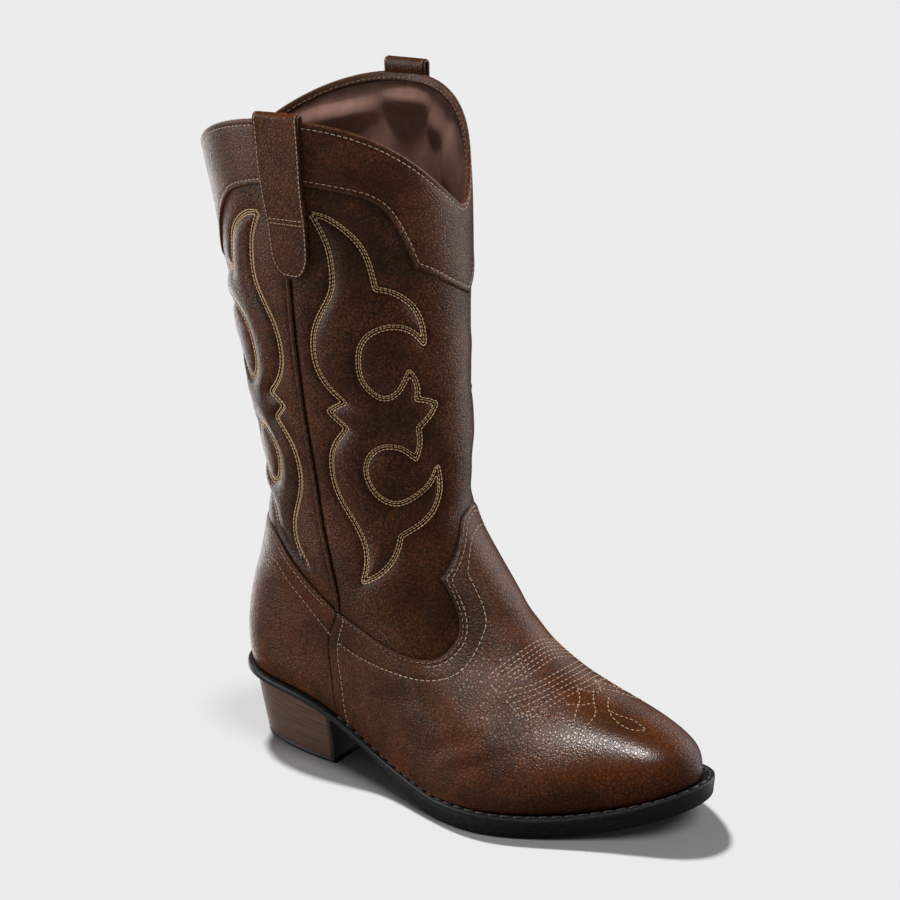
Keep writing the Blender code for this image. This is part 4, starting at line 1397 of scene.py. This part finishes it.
def add_strap(name, side):
    """Pull strap of one side, with its edges darkened."""
    centre, across, out = strap_frame(side)
    widths, _ = strap_widths(centre)
    rings = carried(centre, across, out, widths, STRAP_THICK / 2, BAR)
    dark = STRAP_DARK * (np.abs(BAR[:, 0]) > STRAP_DARK_FROM)
    dark = np.broadcast_to(dark, (len(centre) + 2, len(BAR)))
    if side < 0:
        rings, dark = rings[:, ::-1], dark[:, ::-1]
    capped_tube(name + "_piece", rings, overlay_leather, name, {"seam": dark})


print("strap profile", len(BAR), "points")

# %% Piping, and both sides made
SIDES = {"outer": 1, "inner": -1}
PIPING_RADIUS = 1.0
PIPING_SLICES = (5.0, 10.56)
PIPING_POINTS = 150
PIPING_CORNERS = 10
PIPING_RISE = 0.35
# Lightening of the cord: wear and painted sheen
PIPING_RUB_AND_SHEEN = 0.5


def add_piping(name, side):
    """Cord along the side seam, set half into the dip between the panels."""
    level = even_levels(*PIPING_SLICES, PIPING_POINTS)
    degrees = seam_angle(level) if side > 0 else 360 - seam_angle(level)
    point, normal, per_degree, _ = skin_frame(degrees, level)
    centre = point + normal * (PIPING_RISE * PIPING_RADIUS)
    turn = np.linspace(0, 2 * np.pi, PIPING_CORNERS, endpoint=False)
    circle = np.stack([np.cos(turn), np.sin(turn)], -1)
    rings = carried(centre, unit(per_degree), normal, PIPING_RADIUS, PIPING_RADIUS, circle)
    # The whole cord is lightened: wear and painted sheen.
    rub = np.full((len(level) + 2, len(circle)), PIPING_RUB_AND_SHEEN)
    capped_tube(name + "_piece", rings[:, ::-1], overlay_leather, name, {"rub": rub})


for side_name, side in SIDES.items():
    add_strap(f"pull_strap_{side_name}", side)
    add_piping(f"side_piping_{side_name}", side)

# %% [markdown]
# ## Rim, sole and heel
#
# The rubber sole is moulded with a wide rim that looks like a sewn welt, and the heel is built of thin
# boards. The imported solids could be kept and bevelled, but their facets would show along the rim. So the
# outline is a closed slice like those of the upper. Each ring of points is that outline drawn in by some
# millimetres at some height, so a profile is a short table of (inset, height) rows carried round the boot.

# %% Outlines of sole and feather edge
SOLE_COLUMNS = 320
SOLE_TURN = np.arange(SOLE_COLUMNS) / SOLE_COLUMNS * 2 * np.pi


def outline(back_x, front_x, radii, outer, inner, lean, inset):
    """Outline seen from above, drawn in by inset: x by (1 - cos)/2 along it, y the half width."""
    share = (1 - np.cos(SOLE_TURN)) / 2
    length = np.full_like(share, front_x - back_x - 2 * inset)
    ends = [np.full_like(share, radius - inset) for radius in radii]
    widths = np.array(outer) - inset, np.array(inner) - inset
    sides = side_width(share, length, *ends, *widths, np.sin(SOLE_TURN))
    return back_x + inset + length * share, tip_lean(share, lean) - sides


def sole_loop(inset):
    """The sole's outline, drawn in."""
    return outline(0, SOLE_LENGTH, SOLE_RADII, SOLE_OUTER, SOLE_INNER, SOLE_TIP_LEAN, inset)


def feather_loop(inset):
    """The outline of the upper's lowest slice, drawn in."""
    row = SLICES[0]
    return outline(row[0], row[1], row[4:6], row[6:10], row[10:14], row[14], inset)


def ring(loop, base, height):
    """An outline as points at a height over a base line along the boot."""
    x, y = loop
    return np.stack([x, y, base(x) + height], -1)


print("sole", round(np.ptp(sole_loop(0.0)[1])), "mm wide")


# %% Rim and sole
WELT_HEIGHT = 2.7
RIM_UNDER_UPPER = 3.0
# Columns: inset from the sole's edge, height over the rim's top
RIM_PROFILE = (
    (0.03, -2.7), (0.02, -2.6), (0.0, -1.6), (0.0, -0.75), (0.12, -0.35), (0.42, -0.08), (0.9, 0.0),
    (1.8, 0.02),
)
# Columns: inset from the sole's edge, height over its underside
SOLE_PROFILE = ((4.5, 0.0), (2.6, 0.05), (1.7, 0.3), (1.0, 0.8), (0.6, 1.5))
SOLE_TOP_INSET = 0.04
SOLE_TOP_DROPS = (0.2, 0.02)
# Columns: inset from the feather edge, height over the rim's top
INSOLE_PROFILE = ((3.6, -2.4), (3.6, 1.8), (4.1, 2.3), (5.0, 2.5))
END_SHARES = np.array((0.33, 0.66, 1.0))


def add_rim():
    """Rim: the profile outside, then level to inside the upper's wall and back underneath."""
    rings = [ring(sole_loop(inset), welt_top, height) for inset, height in RIM_PROFILE]
    rings += [ring(feather_loop(RIM_UNDER_UPPER), welt_top, height) for height in (0.0, -WELT_HEIGHT)]
    quads = grid_quads(len(rings) + 1, SOLE_COLUMNS, round_way=True) % (len(rings) * SOLE_COLUMNS)
    add_piece("rim_piece", np.stack(rings), quads, black_rubber, "welt")


def closed_stack(name, rings, finish, node):
    """Rings from bottom to top; both ends are drawn to the line midway between their two sides."""
    def drawn_in(loop, shares):
        """The loop moved by shares of the way to the line between its sides."""
        to_middle = (np.roll(loop[::-1], 1, axis=0) - loop) / 2
        return [loop + to_middle * share for share in shares]

    points = np.stack(drawn_in(rings[0], END_SHARES[::-1]) + rings + drawn_in(rings[-1], END_SHARES))
    weld(add_piece(name, points, grid_quads(*points.shape[:2], round_way=True), finish, node))


def add_sole():
    """Sole: the rounded tread edge, then straight up to just under the rim."""
    rings = [ring(sole_loop(inset), underside, height) for inset, height in SOLE_PROFILE]
    rings += [ring(sole_loop(SOLE_TOP_INSET), welt_top, -WELT_HEIGHT - drop) for drop in SOLE_TOP_DROPS]
    closed_stack("sole_piece", rings, black_rubber, "outsole")


def add_insole():
    """Insole: a board inside the rim with a rounded upper edge."""
    rings = [ring(feather_loop(inset), welt_top, height) for inset, height in INSOLE_PROFILE]
    closed_stack("insole_piece", rings, insole_cloth, "insole")


add_rim()
add_sole()
add_insole()

# %% Many small pads
# A rounded pad: five stations along it, four corners round each
PAD_ALONG = np.array((-0.5, -0.44, 0.0, 0.44, 0.5))
PAD_FULL = np.array((0.45, 0.95, 1.0, 0.95, 0.45))
PAD_SINK = np.array((0.55, 0.05, 0.0, 0.05, 0.55))
PAD_CORNERS = np.array(((1, 0), (0, 1), (-1, 0), (0, -1)), float)


def pads(middle, along, out, width, height):
    """Many little rounded pads at once: each has stations along it and a four-cornered section."""
    side = np.cross(out, unit(along))
    station = middle[:, None] + along[:, None] * PAD_ALONG[:, None]
    station = station - out[:, None] * (PAD_SINK * height)[:, None]
    spread = (PAD_CORNERS[:, 0] * PAD_FULL[:, None] * width)[..., None]
    lift = (PAD_CORNERS[:, 1] * PAD_FULL[:, None] * height)[..., None]
    points = station[:, :, None] + side[:, None, None] * spread + out[:, None, None] * lift
    stations, corners = len(PAD_ALONG), len(PAD_CORNERS)
    cap = np.arange(corners)
    caps = [cap[::-1], cap + (stations - 1) * corners]
    one = np.concatenate([grid_quads(stations, corners, round_way=True), caps])
    quads = one + np.arange(len(points))[:, None, None] * stations * corners
    return points.reshape(-1, 3), quads.reshape(-1, 4)


def spaced(line, pitch):
    """Places and directions at even steps along a line of points."""
    run = run_along(line)
    edges = np.linspace(0, run[-1], max(2, round(run[-1] / pitch)) + 1)
    ends = np.stack([np.interp(edges, run, line[:, axis]) for axis in range(3)], -1)
    return (ends[1:] + ends[:-1]) / 2, ends[1:] - ends[:-1]


print("a pad has", len(PAD_ALONG) * len(PAD_CORNERS), "points")

# %% Moulded stitches of the rim
RIM_STITCH_PITCH = 6.3
RIM_STITCH_GAP = 1.4
RIM_STITCH_WIDTH = 1.05
RIM_STITCH_HEIGHT = 0.6
RIM_STITCH_INSET = 2.4
RIM_STITCH_LIFT = 0.15
RIM_STITCH_START = 72.0


def add_rim_stitches():
    """The row of pads on the rim, from one side of the heel's breast round the toe to the other."""
    line = ring(sole_loop(RIM_STITCH_INSET), welt_top, RIM_STITCH_LIFT)
    middle, along = spaced(np.concatenate([line, line[:1]]), RIM_STITCH_PITCH)
    in_front = middle[:, 0] > RIM_STITCH_START
    middle, along = middle[in_front], along[in_front]
    along = along - unit(along) * RIM_STITCH_GAP
    out = unit(np.cross(along, np.cross((0, 0, 1), along)))
    points, quads = pads(middle, along, out, RIM_STITCH_WIDTH, RIM_STITCH_HEIGHT)
    # The pads wear the rubber with painted highlight
    add_piece("rim_stitches", points, quads, highlight_rubber_pads, "welt")


add_rim_stitches()

# %% Heel
HEEL_BREAST = 68.5
HEEL_ROUND = 2.2
HEEL_POINTS = 48
HEEL_GAP = 0.3
HEEL_RINGS = 60
GROOVE_DEPTH = 0.10
GROOVE_WAVES = 60.0
GROOVE_LIMIT = 0.72
TOP_LIFT = 2.2
BREAST_THICK = 1.4
BREAST_RINGS = 20
BREAST_ROUND = 0.3
BREAST_CORNER = 0.985
# Columns: share of the height, back x, half width at the breast
HEEL_ROWS = np.array(((0.0, 9.0, 29.2), (0.5, 5.6, 30.6), (1.0, 3.2, 33.0)))
# Columns: inset, height over the floor
TOP_LIFT_PROFILE = ((0.9, 0.0), (0.25, 0.25), (0.0, 0.8), (0.0, TOP_LIFT - HEEL_GAP), (0.2, TOP_LIFT))
heel_foot = TOP_LIFT + HEEL_GAP
breast_back = HEEL_BREAST + HEEL_GAP
breast_front = breast_back + BREAST_THICK


def heel_loop(share, inset=0.0, front=HEEL_BREAST):
    """Outline of the heel: half width grows from the rounded back, 1 minus a power, to the breast."""
    back_x = spline(HEEL_ROWS[:, 0], HEEL_ROWS[:, 1], share) + inset
    half_width = spline(HEEL_ROWS[:, 0], HEEL_ROWS[:, 2], share) - inset
    run = 1 - np.cos(np.linspace(0, np.pi / 2, HEEL_POINTS))
    half = half_width * np.sqrt(1 - (1 - run) ** HEEL_ROUND)
    x = back_x + (front - back_x) * run
    return np.concatenate([x, x[:0:-1]]), np.concatenate([-half, half[:0:-1]])


def under_seat(x, share):
    """Height in the heel: a share of the way from its foot up to just under the sole."""
    return heel_foot + (underside(x) - HEEL_GAP - heel_foot) * share


def add_heel_stack():
    """Stack with fine level grooves, where a wave up the heel is near its crest."""
    rings = []
    for share in np.linspace(0, 1, HEEL_RINGS):
        x, y = heel_loop(share, GROOVE_DEPTH * (np.sin(share * GROOVE_WAVES) > GROOVE_LIMIT))
        rings.append(np.stack([x, y, under_seat(x, share)], -1))
    closed_stack("heel_stack_piece", rings, heel_board, "heel_stack")


def add_top_lift():
    """Top lift, the rubber that stands on the floor, with a rounded edge."""
    loops = [(heel_loop(0.0, inset, breast_front), height) for inset, height in TOP_LIFT_PROFILE]
    rings = [ring(loop, np.zeros_like, height) for loop, height in loops]
    closed_stack("heel_top_lift_piece", rings, black_rubber, "heel_top_lift")


def add_breast():
    """The black plate on the heel's front, with its two front edges rounded off."""
    share = np.linspace(0, 1, BREAST_RINGS)
    half = spline(HEEL_ROWS[:, 0], HEEL_ROWS[:, 2], share)
    z = under_seat(np.array(breast_front), share)
    outer_half = ((breast_back, -1.0), (breast_front - BREAST_ROUND, -1.0), (breast_front, -BREAST_CORNER))
    corners = outer_half + tuple((x, -y) for x, y in outer_half[::-1])
    rings = np.stack([np.stack([np.full_like(z, x), y * half, z], -1) for x, y in corners], 1)
    capped_tube("heel_breast_piece", rings, black_rubber, "heel_breast")


add_heel_stack()
add_top_lift()
add_breast()

# %% [markdown]
# ## Stitches
#
# Thread is what makes the boot: each stitch is a small grain of thread that dives into the leather at
# both ends. One grain could be instanced along curves, but all stitches of one thread are lighter as one
# mesh, worked out at once from arrays of middles and directions. The rows are the same lines that dented
# the leather above.

# %% Rows of stitches
SCROLL_PITCH = 2.1
SCROLL_GAP = 1.15
THREAD_LIFT = 0.12
# Threads: half width, height, share of the pitch that shows as thread
SCROLL_THREAD = (0.30, 0.33, 0.80)
FOOT_THREAD = (0.26, 0.27, 0.70)
COLLAR_THREAD = (0.26, 0.27, 0.68)
FACING_THREAD = (0.24, 0.25, 0.60)
TOE_THREAD = (0.24, 0.27, 0.60)


def stitch_row(line, pitch, stand, creases=()):
    """Middles, directions and normals of the stitches along a line of angle and slice number."""
    point, normal, _, _ = skin_frame(line[:, 0], line[:, 1])
    raised = point + normal * (stand + crease_height(point, creases))[:, None]
    middle, along = spaced(raised, pitch)
    _, number = nearest(middle, raised)
    return middle, along, normal[number]


def add_stitches(name, rows, finish, node, thread):
    """One mesh of all stitches of some rows, each a middle, a direction and a normal."""
    width, height, fill = thread
    middle, along, out = (np.concatenate(parts) for parts in zip(*rows))
    points, quads = pads(middle, along * fill, out, width, height)
    add_piece(name, points, quads, finish, node)


scroll_rows = []
for loop in (scroll, back_scroll):
    closed = np.concatenate([loop, loop[:1]])
    for aside in (-SCROLL_GAP, 0.0, SCROLL_GAP):
        row = shift(closed, aside)
        stand = quilt(abs(aside), aside > 0) + THREAD_LIFT
        for line in (row, other_side(row)):
            scroll_rows.append(stitch_row(line, SCROLL_PITCH, stand, SHAFT_CREASES))
add_stitches("scroll_stitches", scroll_rows, gold_thread, "upper", SCROLL_THREAD)

# %% Seam rows of the overlays
SEAM_PITCH = 3.0
FACING_ROW_INSET = 2.0
FACING_SINK = 0.2


def seam_rows(rows, mirror, stand, creases=()):
    """Stitches along rows and their mirrored rows."""
    lines = [line for row in rows for line in (row, mirror(row))]
    return [stitch_row(line, SEAM_PITCH, stand(line[:, 1]), creases) for line in lines]


def on_overlay(level):
    """Height of the thread in the dip of a row on vamp and counter."""
    return OVERLAY_STAND - ROW_DIP + THREAD_LIFT + 0 * level


def on_band(level):
    """Height of the thread in the dip of a row on the collar band."""
    return band_stand(level) - BAND_ROW_DIP + THREAD_LIFT


def on_facing(level):
    """Height of the thread on the band's inner side."""
    return ROLL_STAND - 2 * ROLL_RADIUS - FACING_SINK + 0 * level


foot_rows = seam_rows(vamp_rows, past_front, on_overlay, VAMP_CREASES)
foot_rows += seam_rows(counter_rows, other_side, on_overlay)
add_stitches("foot_stitches", foot_rows, tan_thread, ["vamp", "counter"], FOOT_THREAD)

collar_rows = seam_rows([band_row], past_front, on_band) + seam_rows([collar_row], other_side, on_band)
add_stitches("collar_stitches", collar_rows, tan_thread, "collar_band", COLLAR_THREAD)

facing_rows = seam_rows([shift(collar_line, -FACING_ROW_INSET)], other_side, on_facing)
facing_rows = [(middle, along, -out) for middle, along, out in facing_rows]
# Inside the collar the stitches wear the thread with painted shade
add_stitches("facing_stitches", facing_rows, shaded_thread, "collar_band", FACING_THREAD)

# %% [markdown]
# ## The toe stitching
#
# Across the toe run two sets of rows, a few side lines, and a leaf that points to the tip. Every row
# could be traced, but the rows of a set lie evenly: so its first and last row are traced up to the ridge
# of the toe and the others are worked out between them, and past the ridge a row goes on mirrored at its
# own end. The side lines are traced and mirrored at the mean ridge.

# %% Toe rows
TOE_ROWS = 6
TOE_PITCH = 2.6
TOE_LIFT = 0.05
# First and last row of each set, from the outer end to the ridge, in pixels of the photograph
TOE_SETS = (
    (((490, 675), (500, 667), (514, 657), (526, 648), (537, 641)),
     ((520, 681), (529, 675), (539, 668), (546, 663), (553, 658))),
    (((503, 692.5), (516, 689), (529, 686), (543, 680), (556, 673), (567, 667)),
     ((525, 721), (537, 714.5), (549, 707), (562, 699.5), (576, 692), (590, 685.5))),
)
TOE_SIDE_LINES = (
    ((490, 684), (494, 688), (498, 693)),
    ((505, 700), (511, 706), (520, 717)),
    ((577, 688), (585, 691), (593, 692), (600, 692.5)),
    ((566, 706), (573, 704), (579, 705), (588, 704), (596, 703)),
    ((577, 687), (580, 698), (578, 706), (575, 716), (574, 723)),
    ((594, 690), (594, 704), (596, 712), (591, 721), (583, 729)),
)
TOE_LEAF = (
    ((609, 697), (608, 708), (613, 718), (621, 725), (632, 730), (646, 730)),
    ((610, 711), (620, 716), (630, 719), (639, 724), (646, 730)),
)
toe_rows = [on_skin(trace(arc), OVERLAY_STAND) for arc in TOE_LEAF]
ridge = []
for first, last in TOE_SETS:
    for share in np.linspace(0, 1, TOE_ROWS):
        arc = np.array(first) * (1 - share) + np.array(last) * share
        line = on_skin(trace(arc), OVERLAY_STAND)
        ridge.append(line[-1, 0])
        past_ridge = np.stack([2 * ridge[-1] - line[-2::-1, 0], line[-2::-1, 1]], -1)
        toe_rows.append(np.concatenate([line, past_ridge]))
for arc in TOE_SIDE_LINES:
    line = on_skin(trace(arc), OVERLAY_STAND)
    toe_rows += [line, np.stack([2 * np.mean(ridge) - line[:, 0], line[:, 1]], -1)]
toe_stitches = [stitch_row(line, TOE_PITCH, OVERLAY_STAND + TOE_LIFT, VAMP_CREASES) for line in toe_rows]
add_stitches("toe_stitches", toe_stitches, tan_thread, "vamp", TOE_THREAD)


# %% Strap stitches
STRAP_PITCH = 2.4
STRAP_ROW_INSET = 1.35
STRAP_ROW_LEAST = 0.3
STRAP_ROW_STOP = 2.0
STRAP_CROSS_ROWS = (27.5, 30.0)
STRAP_CROSS_INSET = 2.0
STRAP_CROSS_POINTS = 30
STRAP_THREAD_LIFT = 0.1


def strap_rows(side):
    """Rows along both edges of a strap and two across it, on its outer face."""
    centre, across, out = strap_frame(side)
    widths, run = strap_widths(centre)
    top = centre + out * (STRAP_THICK / 2 + STRAP_THREAD_LIFT)
    edge = np.maximum(widths - STRAP_ROW_INSET, STRAP_ROW_LEAST)
    keep = (run > STRAP_ROW_INSET) & (run < run[-1] - STRAP_ROW_STOP)
    left, right = ((top + across * (way * edge)[:, None])[keep] for way in (-1, 1))
    lines = [np.concatenate([left[::-1], right])]
    for at in STRAP_CROSS_ROWS:
        place = np.argmin(np.abs(run - at))
        half = across[place] * (widths[place] - STRAP_CROSS_INSET)
        lines.append(bridge(top[place] - half, top[place] + half, np.linspace(0, 1, STRAP_CROSS_POINTS)))
    rows = [spaced(line, STRAP_PITCH) for line in lines]
    return [(middle, along, out[nearest(middle, top)[1]]) for middle, along in rows]


both_straps = strap_rows(1) + strap_rows(-1)
add_stitches(
    "strap_stitches", both_straps, tan_thread, ["pull_strap_outer", "pull_strap_inner"],
    FOOT_THREAD)

# %% [markdown]
# ## Floor and light
#
# The boot stands on a pale floor that fills the picture. One big soft light could do for both, but a
# studio lights a product and its backdrop apart, and light linking does that here. Two sun lamps light
# the floor alone and draw the shadow of sole and heel on it, and two others light the boot from above.
# Soft boxes round it give the leather its gloss and pass by the lining, and the toe box reaches only the
# vamp and its stitches. The pale world fills what is left dark.

# %% Stage
FLOOR_HALF = 20.0
FLOOR_GREY = 0.60
WORLD_STRENGTH = 0.10

floor_mesh = bpy.data.meshes.new("floor")
floor_corners = [(x * FLOOR_HALF, y * FLOOR_HALF, 0) for x, y in ((-1, -1), (1, -1), (1, 1), (-1, 1))]
floor_mesh.from_pydata(floor_corners, [], [(0, 1, 2, 3)])
floor = bpy.data.objects.new("floor", floor_mesh)
bpy.context.scene.collection.objects.link(floor)
floor.visible_glossy = False
floor.visible_shadow = False
floor_paint = bpy.data.materials.new("floor paint")
floor_paint.use_nodes = True
floor_shader = floor_paint.node_tree.nodes["Principled BSDF"]
floor_shader.inputs["Base Color"].default_value = (FLOOR_GREY, FLOOR_GREY, FLOOR_GREY, 1)
floor_shader.inputs["Roughness"].default_value = 1.0
floor_shader.inputs["Specular IOR Level"].default_value = 0.0
floor_mesh.materials.append(floor_paint)

world = bpy.data.worlds.new("studio")
bpy.context.scene.world = world
world.use_nodes = True
world.node_tree.nodes["Background"].inputs["Color"].default_value = (1, 1, 1, 1)
world.node_tree.nodes["Background"].inputs["Strength"].default_value = WORLD_STRENGTH
world.cycles_visibility.glossy = False
bpy.context.scene.view_settings.view_transform = "Standard"
print("floor", 2 * FLOOR_HALF, "m wide")

# %% What each lamp reaches
# A lamp's receivers are what it lights, and its blockers what casts a shadow in its light
def lamp_group(name, pieces, state="INCLUDE"):
    """A collection of pieces for lamps to reach, or to pass by."""
    group = bpy.data.collections.new(name)
    for piece in pieces:
        group.objects.link(bpy.data.objects[piece])
    for link in group.collection_objects:
        link.light_linking.link_state = state
    return group


SOLE_AND_HEEL = ("rim", "sole", "heel_stack", "heel_top_lift", "heel_breast")
boot_only = lamp_group("boot only", ["floor"], "EXCLUDE")
outside_only = lamp_group("outside only", ["floor", "lining_piece"], "EXCLUDE")
floor_only = lamp_group("floor only", ["floor"])
toe_only = lamp_group("toe only", ["vamp_leather_piece", "toe_stitches"])
sole_and_heel = lamp_group("sole and heel", [f"{part}_piece" for part in SOLE_AND_HEEL])

# %% Lamps
LAMP_TARGET = np.array((0, 0, 0.15))
SUN_DISTANCE = 1.5
# Columns: name, azimuth and elevation, strength, angle of the lamp's disc
FLOOR_SUNS = (("floor sun behind", (237, 54), 4.05, 7), ("floor sun in front", (80, 54), 1.00, 30))
BOOT_SUNS = (("key above the heel", (270, 83), 2.0, 5), ("key above the toe", (60, 84), 1.2, 8))
# Columns: name, azimuth and elevation, watts, size in metres, distance, gloss only, what it reaches
BOXES = (
    ("toe box", (31, 45), 15.0, (0.36, 0.18), 1.6, True, toe_only),
    ("left box", (302, 14), 11.5, (0.5, 1.3), 1.4, False, outside_only),
    ("right box", (126, 14), 9.0, (0.5, 1.3), 1.4, False, outside_only),
    ("right strip", (156, -4), 6.0, (0.5, 1.7), 1.5, True, outside_only),
    ("left strip", (246, -4), 11.0, (0.5, 1.7), 1.5, True, outside_only),
    ("far box", (164, 28), 9.0, (1.4, 0.8), 1.6, True, outside_only),
)


def add_lamp(kind, name, toward, energy, reached, distance=SUN_DISTANCE):
    """A lamp that shines on the boot from a direction given as azimuth and elevation in degrees."""
    lamp = bpy.data.objects.new(name, bpy.data.lights.new(name, kind))
    bpy.context.scene.collection.objects.link(lamp)
    lamp.data.energy = energy
    lamp.light_linking.receiver_collection = reached
    way = way_to(*toward)
    right = unit(np.cross((0, 0, 1), way))
    aim(lamp, right, np.cross(way, right), way, LAMP_TARGET + way * distance)
    return lamp


for lamp_name, toward, energy, disc in FLOOR_SUNS:
    lamp = add_lamp("SUN", lamp_name, toward, energy, floor_only)
    lamp.data.angle = np.radians(disc)
    lamp.light_linking.blocker_collection = sole_and_heel
for lamp_name, toward, energy, disc in BOOT_SUNS:
    lamp = add_lamp("SUN", lamp_name, toward, energy, boot_only)
    lamp.data.angle = np.radians(disc)
    lamp.visible_glossy = False
for lamp_name, toward, energy, size, distance, gloss_only, reached in BOXES:
    lamp = add_lamp("AREA", lamp_name, toward, energy, reached, distance)
    lamp.data.shape = "RECTANGLE"
    lamp.data.size, lamp.data.size_y = size
    lamp.visible_diffuse = not gloss_only
print("lamps:", len(bpy.data.lights))
